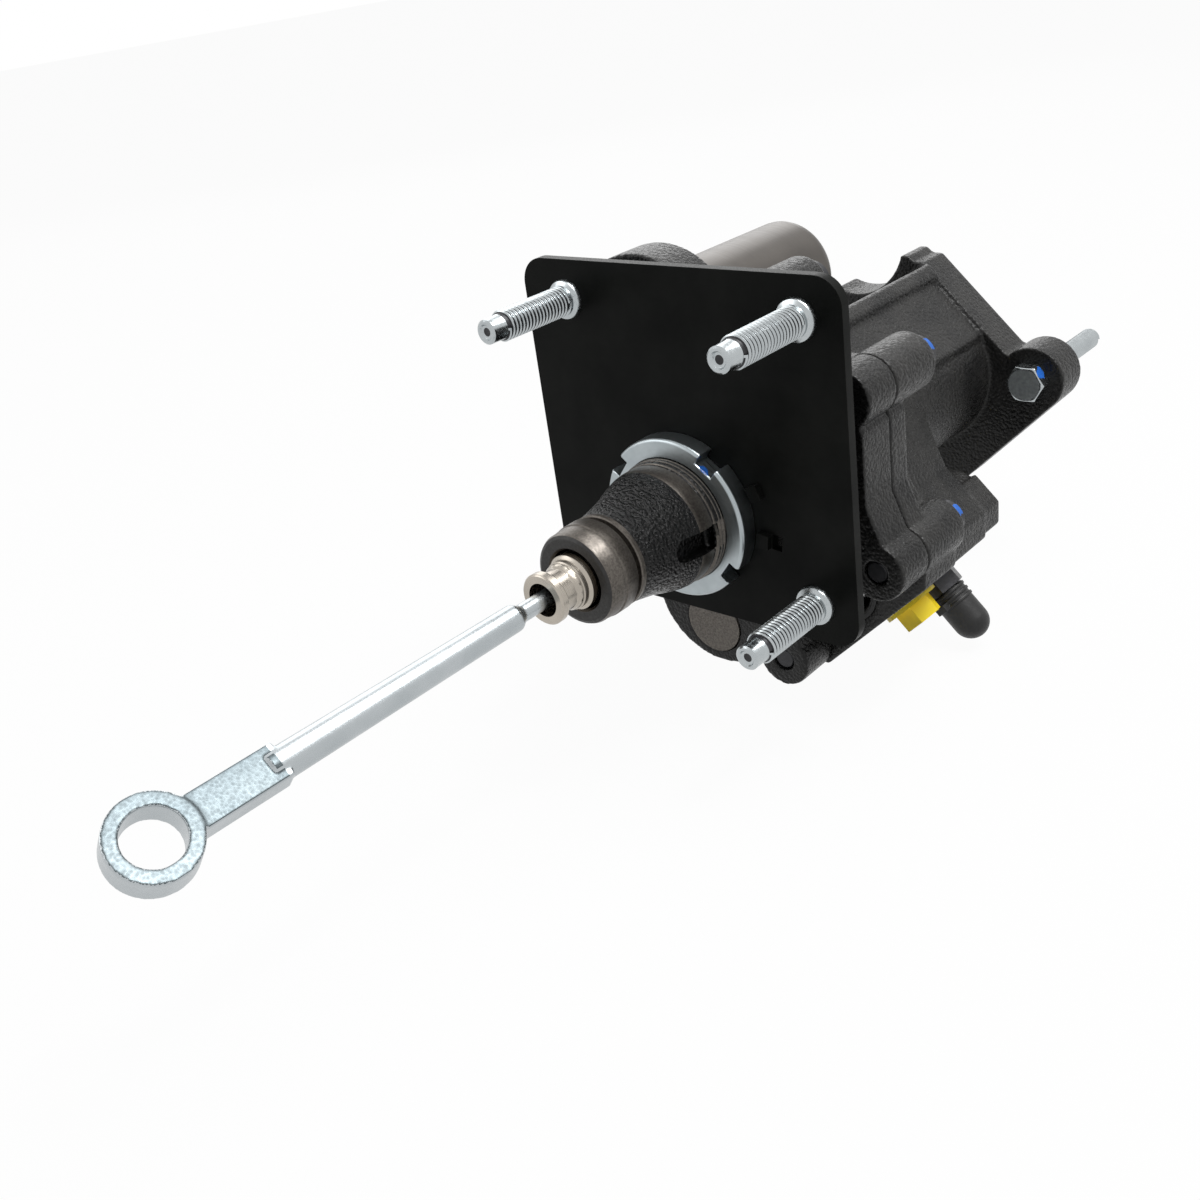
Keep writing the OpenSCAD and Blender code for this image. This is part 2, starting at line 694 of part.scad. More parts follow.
module spool_sleeve() {
  color(steel) on_spool() difference() {
    rod_y(sleeve_r, sleeve_y, spool_plug_y - 2.6);
    rod_y(spool_r + run_gap, sleeve_y - cut, spool_plug_y);
    for (y = [sleeve_y + 6, sleeve_y + 16, sleeve_y + 26])
      ring_y(sleeve_r + cut, sleeve_r - 1.2, y, y + 3.2);
    for (y = [sleeve_y + 6, sleeve_y + 16, sleeve_y + 26]) for (a = [45:90:315])
      rotate([0, a, 0]) translate([0, y + 1.6, 0]) cylinder(d = 2.4, h = sleeve_r + cut, $fn = 24);
  }
}

module spool_valve() {
  color(steel) on_spool() difference() {
    turned([
      [0, hinge_y - 7], [clevis_r - 1.5, hinge_y - 7], [clevis_r, hinge_y - 5.5],
      [clevis_r, hinge_y + clevis_slot], [spool_r, hinge_y + clevis_slot + 3], [spool_r, sleeve_y + 8],
      [spool_r - 1.6, sleeve_y + 9], [spool_r - 1.6, sleeve_y + 14], [spool_r, sleeve_y + 15],
      [spool_r, sleeve_y + 20], [spool_r - 1.6, sleeve_y + 21], [spool_r - 1.6, spool_front - 6],
      [spool_r, spool_front - 5], [spool_r, spool_front], [2.4, spool_front],
      [2.4, spool_front + 4], [0, spool_front + 4]
    ]);
    translate([-clevis_r - cut, hinge_y - 7 - cut, -slot_width / 2])
      cube([2 * clevis_r + 2 * cut, clevis_slot + 7 + cut, slot_width]);
    translate([0, hinge_y, -clevis_r - cut]) cylinder(d = lever_pin_d + 2 * run_gap, h = 2 * clevis_r + 2 * cut);
  }
}

module spool_spring() {
  color(spring_steel) on_spool() coil(spool_r - 1.6, 1, spool_front + 0.1, spool_plug_y - 0.1, 5);
}

module spool_plug() {
  r = sleeve_r - 0.05;
  color(bare_iron) on_spool() difference() {
    turned([
      [0, spool_plug_y], [r, spool_plug_y], [r, spool_plug_y + 1.6], [r - 1.7, spool_plug_y + 1.6],
      [r - 1.7, spool_plug_y + 4], [r, spool_plug_y + 4], [r, spool_plug_y + spool_plug_t],
      [0, spool_plug_y + spool_plug_t]
    ]);
    rod_y(2.2, spool_plug_y + 2.4, spool_plug_y + spool_plug_t + cut);
  }
}

module spool_plug_seal() {
  color(rubber) on_spool() o_ring(sleeve_r - 0.85, 1.7, spool_plug_y + 2.8);
}

module spool_snap_ring() {
  color(spring_steel) on_spool() difference() {
    ring_y(sleeve_r + 1.2, sleeve_r - 1.8, spool_plug_y + spool_plug_t + 0.05,
      spool_plug_y + spool_plug_t + spool_ring_t);
    translate([-sleeve_r - 2, spool_plug_y, -2.5]) cube([6, 20, 5]);
  }
}

module lever() {
  reach = spool_offset / cos(lever_swing) + 3.6;
  r = lever_width / 2;
  h = lever_thickness;
  color(steel) on_spool() translate([0, hinge_y, -h / 2]) rotate([0, 0, lever_swing]) difference() {
    union() {
      cylinder(r = r, h = h);
      translate([-reach, -r, 0]) cube([reach, 2 * r, h]);
    }
    translate([0, 0, -cut]) cylinder(d = lever_pin_d + 2 * run_gap, h = h + 2 * cut);
    translate([-reach - cut, -lever_pin_d / 2 - drive_slop, -cut])
      cube([11, lever_pin_d + 2 * drive_slop, h + 2 * cut]);
    for (x = [-34, -23]) translate([x, 0, -cut]) cylinder(d = r, h = h + 2 * cut);
  }
}

module lever_pivot_pin() {
  half = clevis_r - 0.3;
  color(zinc) on_spool() translate([0, hinge_y, -half]) cylinder(d = lever_pin_d, h = 2 * half);
}

module lever_drive_pin() {
  half = plunger_r * 0.9;
  color(zinc) clocked() translate([0, drive_y, -half]) cylinder(d = lever_pin_d, h = 2 * half);
}

module input_plunger() {
  rim_r = cup_rim / 2;
  color(nickel) difference() {
    on_axis() turned([
      [0, cup_y], [rim_r - 0.5, cup_y], [rim_r, cup_y + 0.5], [rim_r, cup_y + 2.6],
      [rim_r - 0.6, cup_y + 3.2], [rim_r - 1.5, cup_y + 3.4], [rim_r - 1.5, cup_y + 7.6],
      [rim_r - 0.7, cup_y + 9], [rim_r - 0.7, cup_y + 10], [plunger_r - 1, cup_y + 10.3],
      [plunger_r - 1, cup_y + 11.8], [plunger_r, cup_y + 12.6], [plunger_r, nose_y - 2],
      [plunger_r - 2, nose_y], [0, nose_y]
    ]);
    on_axis() rod_y(cup_opening / 2, cup_y - cut, ball_y);
    on_axis() rod_y(bush_r + 0.05, ball_y - bush_half - 1.2, ball_y + bush_half + 1.2);
    clocked() translate([-plunger_r - cut, drive_y - slot_half, -slot_width / 2])
      cube([2 * plunger_r + 2 * cut, 2 * slot_half, slot_width]);
    clocked() translate([0, drive_y, -plunger_r - cut])
      cylinder(d = lever_pin_d + 2 * seat_gap, h = 2 * plunger_r + 2 * cut);
  }
}

module input_seal() {
  color(rubber) on_axis() ring_y(plunger_r + 2.3, plunger_r + run_gap, 4.1, 8.1);
}

module rod_bush() {
  edge = asin(bush_half / bush_r);
  seat_r = ball_r + run_gap;
  door_r = neck_diameter / 2 + 1.1;
  high = asin(bush_half / seat_r);
  low = -acos(door_r / seat_r);
  outside = [for (i = [-5:5]) [bush_r * cos(i * edge / 5), bush_r * sin(i * edge / 5)]];
  socket = [for (i = [0:12]) let (a = high + (low - high) * i / 12) [seat_r * cos(a), seat_r * sin(a)]];
  color("ivory") on_axis() translate([0, ball_y, 0])
    turned(concat(outside, socket, [[door_r, -bush_half]]));
}

module input_rod() {
  neck_r = neck_diameter / 2;
  color(zinc) on_axis() {
    translate([0, ball_y, 0]) sphere(r = ball_r);
    turned([
      [0, bar_y - 4], [shank_large / 2, bar_y - 4], [shank_small / 2, shoulder_y],
      [neck_r, shoulder_y + 2.3], [neck_r, ball_y - 2], [0, ball_y - 2]
    ]);
    rotate([0, -eye_turn, 0]) rod_eye();
  }
}

// Flat bar and eye, with the eye's hole along X
module rod_eye() {
  difference() {
    union() {
      translate([-bar_thickness / 2, -eye_distance, -bar_width / 2])
        cube([bar_thickness, bar_y + eye_distance, bar_width]);
      translate([-eye_thickness / 2, -eye_distance, 0]) rotate([0, 90, 0])
        cylinder(d = eye_outer, h = eye_thickness);
    }
    translate([-eye_thickness, -eye_distance, 0]) rotate([0, 90, 0])
      cylinder(d = eye_bore, h = 2 * eye_thickness);
    for (s = [-1, 1]) translate([s > 0 ? bar_thickness / 2 : -bar_thickness / 2 - 8, bar_y - 5, -10])
      cube([8, 5, 20]);
  }
}

module power_piston() {
  color(steel) on_axis() difference() {
    turned([
      [0, piston_back], [piston_r - 5, piston_back], [piston_r - 4, piston_back + 1],
      [piston_r - 4, land_y - 1.5], [piston_r - 1, land_y], [piston_r, land_y + 1],
      [piston_r, land_y + 8], [piston_r - 3, land_y + 8], [piston_r - 3, land_y + 12.4],
      [piston_r, land_y + 12.4], [piston_r, land_end - 0.8], [piston_r - 0.8, land_end], [0, land_end]
    ]);
    rod_y(hollow_r, hollow_y, land_end + cut);
    rod_y(output_rod_d / 2 + 0.2, hollow_y - rod_pocket, hollow_y + cut);
  }
}

module piston_seal() {
  color(rubber) on_axis() ring_y(piston_r, piston_r - 2.95, land_y + 8.1, land_y + 12.3);
}

module return_spring() {
  color(spring_steel) on_axis()
    coil(hollow_r - spring_wire / 2 - 0.5, spring_wire, hollow_y + 0.1, seat_y - 0.1, spring_turns);
}

module spring_seat() {
  color(spring_steel) on_axis() ring_y(bore_r + 2.4, output_rod_d / 2 + 2.5, seat_y, seat_y + seat_t - 0.05);
}

module seat_snap_ring() {
  color(spring_steel) on_axis() difference() {
    ring_y(bore_r + 1.3, bore_r - 2.6, seat_y + seat_t + 0.02, seat_y + seat_t + ring_t);
    translate([-bore_r - 3, seat_y, -4]) cube([7, 20, 8]);
  }
}

module output_rod() {
  r = output_rod_d / 2;
  tip = cylinder_face_y + output_rod_out;
  back = hollow_y - rod_pocket + 0.1;
  color(zinc) on_axis() turned([
    [0, back], [r - 2, back], [r, back + 2], [r, hollow_y + 2], [r - 0.9, hollow_y + 2.2],
    [r - 0.9, hollow_y + 3.8], [r, hollow_y + 4], [r, tip - 5], [r - 1.4, tip - 1.6], [r - 3, tip - 0.4],
    [0, tip]
  ]);
}

module output_rod_clip() {
  r = output_rod_d / 2;
  color(spring_steel) on_axis() ring_y(r + 4.2, r - 0.75, hollow_y + 2.35, hollow_y + 3.65);
}

module port_seats() {
  color("gold") for (k = [0:1]) at_pressure_port(k)
    translate([-port_depth, 0, 0]) rotate([0, 90, 0]) difference() {
      cylinder(r1 = port_r - 0.4, r2 = port_r - 3, h = 2.6);
      translate([0, 0, -cut]) cylinder(d = 4, h = 6);
    }
}

module port_seals() {
  color(rubber) for (k = [0:1]) at_pressure_port(k)
    translate([-port_depth + 4, 0, 0]) rotate([0, 90, 0]) rotate_extrude()
      translate([port_r - 1.05, 0]) circle(d = 1.9, $fn = 32);
}

module port_plugs() {
  stem_r = port_r - 2.1;
  stem = port_depth - 2.9;
  color(yellow) for (k = [0:1]) at_pressure_port(k)
    translate([0.05, 0, 0]) rotate([0, 90, 0]) difference() {
      union() {
        translate([0, 0, -stem]) cylinder(r = stem_r, h = stem + 0.5);
        cylinder(r = plug_flange_r, h = plug_flange_t);
        translate([0, 0, plug_flange_t - 0.2]) cylinder(d = plug_hex * 1.1547, h = plug_head + 0.2, $fn = 6);
      }
      translate([0, 0, 1]) cylinder(r = plug_hex / 2 - 2, h = plug_head + plug_flange_t);
    }
}

module return_fitting() {
  color(satin_black) at_port(return_port) translate([port_face, 0, 0]) rotate([0, 90, 0]) difference() {
    union() {
      translate([0, 0, -7.6]) cylinder(r = nipple_r + 0.5, h = 8);
      translate([0, 0, 0.05]) cylinder(d = fitting_hex * 1.1547, h = hex_height, $fn = 6);
      cylinder(r = nipple_r - 0.6, h = nipple_reach);
      for (z = [hex_height + 2, nipple_reach - 4]) translate([0, 0, z])
        cylinder(r1 = nipple_r, r2 = nipple_r - 0.6, h = 3);
    }
    translate([0, 0, -9 - cut]) cylinder(d = nipple_diameter - 4, h = nipple_reach + 9 + 2 * cut);
  }
}

module return_seal() {
  color(rubber) at_port(return_port) translate([port_face - 2.05, 0, 0]) rotate([0, 90, 0])
    difference() {
      cylinder(r = nipple_r + 2.25, h = 2);
      translate([0, 0, -cut]) cylinder(r = nipple_r + 0.65, h = 4);
    }
}

module return_cap() {
  r = nipple_r + cap_wall;
  foot = hex_height + 0.35;
  color(rubber) at_port(return_port) translate([port_face, 0, 0]) rotate([0, 90, 0]) difference() {
    union() {
      translate([0, 0, foot]) cylinder(r = r, h = nipple_reach - foot - 2);
      for (z = [foot + 0.4, foot + 2.6, foot + 4.8]) translate([0, 0, z]) cylinder(r = r + 0.5, h = 1.1);
      translate([0, 0, nipple_reach - 2.05]) sphere(r = r);
      translate([-2.2, -r - 2.8, foot + 3]) cube([4.4, 6, 2.6]);
    }
    translate([0, 0, foot - cut]) cylinder(r = nipple_r + 0.05, h = nipple_reach - foot + cut + 0.6);
  }
}

mounting_plate();
firewall_studs();
spanner_nut();
booster_cover();
cover_seal();
booster_housing();
cover_bolts();
master_cylinder_bolts();
accumulator_can();
accumulator_ring();
accumulator_seal();
accumulator_piston();
piston_ring();
gallery_plug();
spool_sleeve();
spool_valve();
spool_spring();
spool_plug();
spool_plug_seal();
spool_snap_ring();
lever();
lever_pivot_pin();
lever_drive_pin();
input_plunger();
input_seal();
rod_bush();
input_rod();
power_piston();
piston_seal();
return_spring();
spring_seat();
seat_snap_ring();
output_rod();
output_rod_clip();
port_seats();
port_seals();
port_plugs();
return_fitting();
return_seal();
return_cap();
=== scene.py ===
import math
import bpy
from mathutils import Matrix, Vector


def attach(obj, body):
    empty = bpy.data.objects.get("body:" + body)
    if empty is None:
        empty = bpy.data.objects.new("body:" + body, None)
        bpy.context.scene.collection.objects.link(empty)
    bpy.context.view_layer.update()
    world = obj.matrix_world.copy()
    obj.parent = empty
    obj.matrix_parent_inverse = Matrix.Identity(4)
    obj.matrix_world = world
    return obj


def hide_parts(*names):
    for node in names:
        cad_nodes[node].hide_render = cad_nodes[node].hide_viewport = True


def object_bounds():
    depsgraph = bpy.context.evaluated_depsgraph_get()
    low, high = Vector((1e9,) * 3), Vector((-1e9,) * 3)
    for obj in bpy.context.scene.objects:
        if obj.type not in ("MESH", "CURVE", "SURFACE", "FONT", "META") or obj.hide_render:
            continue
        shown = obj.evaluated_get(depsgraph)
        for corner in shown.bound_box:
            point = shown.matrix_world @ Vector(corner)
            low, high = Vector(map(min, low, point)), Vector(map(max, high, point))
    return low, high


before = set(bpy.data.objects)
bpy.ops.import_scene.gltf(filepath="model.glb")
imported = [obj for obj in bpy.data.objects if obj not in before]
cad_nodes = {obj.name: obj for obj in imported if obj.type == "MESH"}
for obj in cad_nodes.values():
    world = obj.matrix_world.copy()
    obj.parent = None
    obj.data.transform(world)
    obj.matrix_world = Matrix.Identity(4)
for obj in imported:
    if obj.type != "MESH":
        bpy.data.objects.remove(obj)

cad_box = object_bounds()
bpy.ops.object.select_all(action="DESELECT")

# The view: one photograph from the pedal side, to the right and above, with
# a normal lens close to the part.
film_width = 36.0
lens_length = 39.31
lens_shift = (0.0303, -0.0343)
nearest_seen = 0.01
view_right = Vector((0.72965, 0.66884, -0.14229))
view_up = Vector((-0.19589, 0.40381, 0.89361))
view_back = Vector((0.65515, -0.62416, 0.42566))
view_place = Vector((0.25058, -0.30047, 0.15137))
bpy.context.scene.view_settings.view_transform = "Standard"
bpy.ops.object.camera_add()
view_camera = bpy.context.object
view_camera.name = "view_camera"
view_camera.matrix_world = Matrix((
    (view_right.x, view_up.x, view_back.x, view_place.x),
    (view_right.y, view_up.y, view_back.y, view_place.y),
    (view_right.z, view_up.z, view_back.z, view_place.z),
    (0, 0, 0, 1),
))
view_camera.data.sensor_width = film_width
view_camera.data.lens = lens_length
view_camera.data.shift_x, view_camera.data.shift_y = lens_shift
view_camera.data.clip_start = nearest_seen
bpy.context.scene.camera = view_camera
bpy.ops.object.select_all(action="DESELECT")

# The floor: white seamless paper. The part is held by its studs in use, so
# here it hangs just clear of the paper and keeps a faint shadow on it.
paper_width = 16
paper_drop = 0.004
paper_tone = 0.6
paper_glow_share = 0.96


def node(tree, kind, settings=(), links=()):
    """A shader node, with its settings and the sockets that feed it."""
    made = tree.nodes.new(kind)
    for key, value in dict(settings).items():
        if isinstance(key, str) and hasattr(made, key):
            setattr(made, key, value)
        else:
            made.inputs[key].default_value = value
    for key, source in dict(links).items():
        tree.links.new(source, made.inputs[key])
    return made


def seen_share(tree):
    """1 where the eye, metal or glass looks at a thing, and 0 where the thing only gives light."""
    path = node(tree, "ShaderNodeLightPath")
    eye_or_metal = node(tree, "ShaderNodeMath", {"operation": "MAXIMUM"},
                        {0: path.outputs["Is Camera Ray"], 1: path.outputs["Is Glossy Ray"]})
    with_glass = node(tree, "ShaderNodeMath", {"operation": "MAXIMUM"},
                      {0: eye_or_metal.outputs[0], 1: path.outputs["Is Transmission Ray"]})
    return with_glass.outputs[0]


bpy.ops.mesh.primitive_plane_add(size=paper_width, location=(0, 0, cad_box[0][2] - paper_drop))
paper = bpy.context.object
paper.name = "paper_floor"
bpy.ops.object.transform_apply(location=True)
white_paper = bpy.data.materials.new("white_paper")
white_paper.use_nodes = True
paper_tree = white_paper.node_tree
paper_tree.nodes.clear()
paper_body = node(paper_tree, "ShaderNodeBsdfDiffuse", {"Color": (paper_tone, paper_tone, paper_tone, 1)})
paper_glow = node(paper_tree, "ShaderNodeEmission", {"Strength": 1.0})
paper_share = node(paper_tree, "ShaderNodeMath", {"operation": "MULTIPLY", 1: paper_glow_share},
                   {0: seen_share(paper_tree)})
paper_mix = node(paper_tree, "ShaderNodeMixShader", {},
                 {"Fac": paper_share.outputs[0], 1: paper_body.outputs[0], 2: paper_glow.outputs[0]})
node(paper_tree, "ShaderNodeOutputMaterial", {}, {"Surface": paper_mix.outputs[0]})
paper.data.materials.append(white_paper)
bpy.ops.object.select_all(action="DESELECT")

# The light: a large soft box overhead, one behind, one on the left for the
# rod, a small one for the castings' glints, and an even white room.
room_fill = 0.09
room_tint = (0.9, 0.95, 1.0, 1)
room = bpy.data.worlds.new("white_room")
bpy.context.scene.world = room
room.use_nodes = True
room_tree = room.node_tree
room_tree.nodes.clear()
room_light = node(room_tree, "ShaderNodeBackground", {"Color": room_tint, "Strength": room_fill})
room_white = node(room_tree, "ShaderNodeBackground", {"Color": (1, 1, 1, 1), "Strength": 1.0})
room_mix = node(room_tree, "ShaderNodeMixShader", {},
                {"Fac": seen_share(room_tree), 1: room_light.outputs[0], 2: room_white.outputs[0]})
node(room_tree, "ShaderNodeOutputWorld", {}, {"Surface": room_mix.outputs[0]})


def soft_box(name, at, toward, size, watts):
    """A flat lamp at a place, turned toward another, in metres."""
    bpy.ops.object.light_add(type="AREA", location=at)
    lamp = bpy.context.object
    lamp.name = name
    lamp.data.shape = "RECTANGLE"
    lamp.data.size, lamp.data.size_y = size
    lamp.data.energy = watts
    aim = Vector(toward) - Vector(at)
    lamp.rotation_euler = aim.to_track_quat("-Z", "Y").to_euler()
    bpy.ops.object.select_all(action="DESELECT")


soft_box("box_overhead", (0.3, 0.25, 0.95), (0.0, 0.02, -0.02), size=(0.9, 0.9), watts=13)
soft_box("box_glint", (0.42, 0.06, 0.85), (0.0, 0.0, -0.02), size=(0.16, 0.16), watts=4)
soft_box("box_behind", (-0.95, 0.85, 0.62), (0.0, -0.06, -0.03), size=(1.5, 0.9), watts=7)
soft_box("box_left", (-0.8, -0.75, 0.5), (0.0, -0.05, -0.03), size=(0.7, 0.7), watts=3)

# The plate that bolts to the firewall: 3.5 mm steel, punched and pressed,
# with two lock tabs lanced up beside the nut, in satin black coating.
MM = 0.001
plate_edge = 0.5


def effect_group(name, sockets_in, sockets_out):
    """An empty node group with its inputs (name, kind, value) and outputs (name, kind)."""
    group = bpy.data.node_groups.new(name, "ShaderNodeTree")
    for label, kind, value in sockets_in:
        socket = group.interface.new_socket(label, in_out="INPUT", socket_type=kind)
        if value is not None:
            socket.default_value = value
    for label, kind in sockets_out:
        group.interface.new_socket(label, in_out="OUTPUT", socket_type=kind)
    start = group.nodes.new("NodeGroupInput")
    end = group.nodes.new("NodeGroupOutput")
    return group, start, end


# A colour mixing node's colour sockets have the same names as its number
# sockets, so they are taken by their places.
color_a, color_b, color_mixed = 6, 7, 2

# Clouding: a colour that drifts between two tones in soft blotches.
clouding, clouds_in, clouds_out = effect_group(
    "clouding",
    [("Tone", "NodeSocketColor", (0.5, 0.5, 0.5, 1)),
     ("Other Tone", "NodeSocketColor", (0.4, 0.4, 0.4, 1)),
     ("Size", "NodeSocketFloat", 60.0),
     ("Contrast", "NodeSocketFloat", 0.5)],
    [("Color", "NodeSocketColor"), ("Mask", "NodeSocketFloat")],
)
cloud_place = node(clouding, "ShaderNodeTexCoord")
cloud_noise = node(clouding, "ShaderNodeTexNoise", {"Detail": 5.0, "Roughness": 0.55},
                   {"Vector": cloud_place.outputs["Object"], "Scale": clouds_in.outputs["Size"]})
cloud_edge = node(clouding, "ShaderNodeMapRange", {"From Min": 0.35, "From Max": 0.65},
                  {"Value": cloud_noise.outputs["Fac"]})
cloud_amount = node(clouding, "ShaderNodeMath", {"operation": "MULTIPLY"},
                    {0: cloud_edge.outputs["Result"], 1: clouds_in.outputs["Contrast"]})
cloud_mix = node(clouding, "ShaderNodeMix", {"data_type": "RGBA"}, {"Factor": cloud_amount.outputs[0]})
clouding.links.new(clouds_in.outputs["Tone"], cloud_mix.inputs[color_a])
clouding.links.new(clouds_in.outputs["Other Tone"], cloud_mix.inputs[color_b])
clouding.links.new(cloud_mix.outputs[color_mixed], clouds_out.inputs["Color"])
clouding.links.new(cloud_edge.outputs["Result"], clouds_out.inputs["Mask"])

# Grain: the small rise and fall of a surface, as a height and a mask.
grain, grain_in, grain_out = effect_group(
    "grain",
    [("Size", "NodeSocketFloat", 900.0), ("Softness", "NodeSocketFloat", 0.5)],
    [("Height", "NodeSocketFloat"), ("Mask", "NodeSocketFloat")],
)
grain_place = node(grain, "ShaderNodeTexCoord")
grain_noise = node(grain, "ShaderNodeTexNoise", {"Detail": 4.0, "Roughness": 0.6},
                   {"Vector": grain_place.outputs["Object"], "Scale": grain_in.outputs["Size"]})
grain_cells = node(grain, "ShaderNodeTexVoronoi", {"feature": "SMOOTH_F1"},
                   {"Vector": grain_place.outputs["Object"], "Scale": grain_in.outputs["Size"],
                    "Smoothness": grain_in.outputs["Softness"]})
grain_both = node(grain, "ShaderNodeMath", {"operation": "SUBTRACT"},
                  {0: grain_noise.outputs["Fac"], 1: grain_cells.outputs["Distance"]})
grain_mask = node(grain, "ShaderNodeMapRange", {"From Min": -0.15, "From Max": 0.35},
                  {"Value": grain_both.outputs[0]})
grain.links.new(grain_both.outputs[0], grain_out.inputs["Height"])
grain.links.new(grain_mask.outputs["Result"], grain_out.inputs["Mask"])

# Lathe marks: fine rings round a Y axis, along the part and out from it.
lathe_marks, marks_in, marks_out = effect_group(
    "lathe_marks",
    [("Axis", "NodeSocketVector", None), ("Lines", "NodeSocketFloat", 4000.0)],
    [("Height", "NodeSocketFloat"), ("Mask", "NodeSocketFloat")],
)
marks_place = node(lathe_marks, "ShaderNodeTexCoord")
marks_from = node(lathe_marks, "ShaderNodeVectorMath", {"operation": "SUBTRACT"},
                  {0: marks_place.outputs["Object"], 1: marks_in.outputs["Axis"]})
marks_parts = node(lathe_marks, "ShaderNodeSeparateXYZ", {}, {"Vector": marks_from.outputs["Vector"]})
marks_flat = node(lathe_marks, "ShaderNodeCombineXYZ", {},
                  {"X": marks_parts.outputs["X"], "Z": marks_parts.outputs["Z"]})
marks_reach = node(lathe_marks, "ShaderNodeVectorMath", {"operation": "LENGTH"},
                   {0: marks_flat.outputs["Vector"]})
marks_line = node(lathe_marks, "ShaderNodeCombineXYZ", {},
                  {"X": marks_reach.outputs["Value"], "Y": marks_parts.outputs["Y"]})
marks_scaled = node(lathe_marks, "ShaderNodeVectorMath", {"operation": "SCALE"},
                    {0: marks_line.outputs["Vector"], "Scale": marks_in.outputs["Lines"]})
marks_noise = node(lathe_marks, "ShaderNodeTexNoise", {"Scale": 1.0, "Detail": 2.0},
                   {"Vector": marks_scaled.outputs["Vector"]})
marks_mask = node(lathe_marks, "ShaderNodeMapRange", {"From Min": 0.3, "From Max": 0.7},
                  {"Value": marks_noise.outputs["Fac"]})
lathe_marks.links.new(marks_noise.outputs["Fac"], marks_out.inputs["Height"])
lathe_marks.links.new(marks_mask.outputs["Result"], marks_out.inputs["Mask"])


def finish(name, tone, other, metal, rough, cloud_size, contrast, effect, effect_values,
           bump, reach, rough_swing, specular=0.5):
    """A material: clouded colour, and one surface effect for its bump and its roughness."""
    made = bpy.data.materials.new(name)
    made.use_nodes = True
    tree = made.node_tree
    shader = tree.nodes["Principled BSDF"]
    shader.inputs["Metallic"].default_value = metal
    shader.inputs["Specular IOR Level"].default_value = specular
    cloud = node(tree, "ShaderNodeGroup", {"node_tree": clouding})
    cloud.inputs["Tone"].default_value = (*tone, 1)
    cloud.inputs["Other Tone"].default_value = (*other, 1)
    cloud.inputs["Size"].default_value = cloud_size
    cloud.inputs["Contrast"].default_value = contrast
    tree.links.new(cloud.outputs["Color"], shader.inputs["Base Color"])
    skin = node(tree, "ShaderNodeGroup", {"node_tree": effect})
    for key, value in dict(effect_values).items():
        skin.inputs[key].default_value = value
    rough_map = node(tree, "ShaderNodeMapRange",
                     {"To Min": rough - rough_swing, "To Max": rough + rough_swing},
                     {"Value": skin.outputs["Mask"]})
    tree.links.new(rough_map.outputs["Result"], shader.inputs["Roughness"])
    raised = node(tree, "ShaderNodeBump", {"Strength": bump, "Distance": reach},
                  {"Height": skin.outputs["Height"]})
    tree.links.new(raised.outputs["Normal"], shader.inputs["Normal"])
    return made


def dress(piece, *materials):
    """Gives a piece its materials, the first one for all its faces."""
    piece.data.materials.clear()
    for material in materials:
        piece.data.materials.append(material)


def copied_shape(name, source):
    """A copy of a CAD node with its loose triangles merged."""
    piece = cad_nodes[source].copy()
    piece.data = cad_nodes[source].data.copy()
    piece.parent = None
    piece.matrix_world = Matrix.Identity(4)
    piece.name = name
    for key in list(piece.keys()):
        del piece[key]
    bpy.context.collection.objects.link(piece)
    bpy.ops.object.select_all(action="DESELECT")
    bpy.context.view_layer.objects.active = piece
    piece.select_set(True)
    bpy.ops.object.mode_set(mode="EDIT")
    bpy.ops.mesh.select_all(action="SELECT")
    bpy.ops.mesh.remove_doubles(threshold=1e-6)
    bpy.ops.object.mode_set(mode="OBJECT")
    return piece


def broken_edges(piece, width, segments=2, sharp=35):
    """Flat faces made whole, then every sharp edge rounded a little, as a deburred edge is."""
    bpy.context.view_layer.objects.active = piece
    piece.select_set(True)
    bpy.ops.object.mode_set(mode="EDIT")
    bpy.ops.mesh.select_all(action="SELECT")
    bpy.ops.mesh.dissolve_limited(angle_limit=math.radians(0.5))
    bpy.ops.object.mode_set(mode="OBJECT")
    rounding = piece.modifiers.new("rounding", "BEVEL")
    rounding.width = width * MM
    rounding.segments = segments
    rounding.limit_method = "ANGLE"
    rounding.angle_limit = math.radians(sharp)
    bpy.ops.object.modifier_apply(modifier="rounding")
    bpy.ops.object.shade_smooth_by_angle(angle=math.radians(28))
    shading = piece.modifiers.new("shading", "WEIGHTED_NORMAL")
    shading.weight = 90
    shading.keep_sharp = True
    bpy.ops.object.modifier_apply(modifier="shading")
    bpy.ops.object.select_all(action="DESELECT")


satin_black = finish(
    "satin_black", (0.003, 0.0034, 0.003), (0.010, 0.0105, 0.0095),
    metal=0.0, rough=0.38, cloud_size=36.0, contrast=1.0,
    effect=grain, effect_values={"Size": 2200.0},
    bump=0.06, reach=0.0001, rough_swing=0.06, specular=0.05)
plate = copied_shape("plate", "mounting_plate")
broken_edges(plate, plate_edge)
dress(plate, satin_black)
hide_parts("mounting_plate")
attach(plate, "booster")

# Four M10 studs with a dog point, rolled threads and a knurled head that is
# pressed through the plate. Bright zinc plate, with painted shade in the
# thread roots and at the bottom of the recess in the dog point's end.
axis_x, axis_z = -4.0, -22.7
stud_places = [(x * 44.2, z * 45.5) for x in (-1, 1) for z in (-1, 1)]
stud_root, stud_crest, stud_pitch = 4.06, 4.98, 1.5
thread_start, thread_end = -31.4, -3.4
# Painted shade: the stud is coloured black inside this radius in the thread roots, and inside the next
# one at the dog point's end recess.
root_shade_radius = 4.42
recess_shade_radius = 1.3
dog_point_to = -36.0


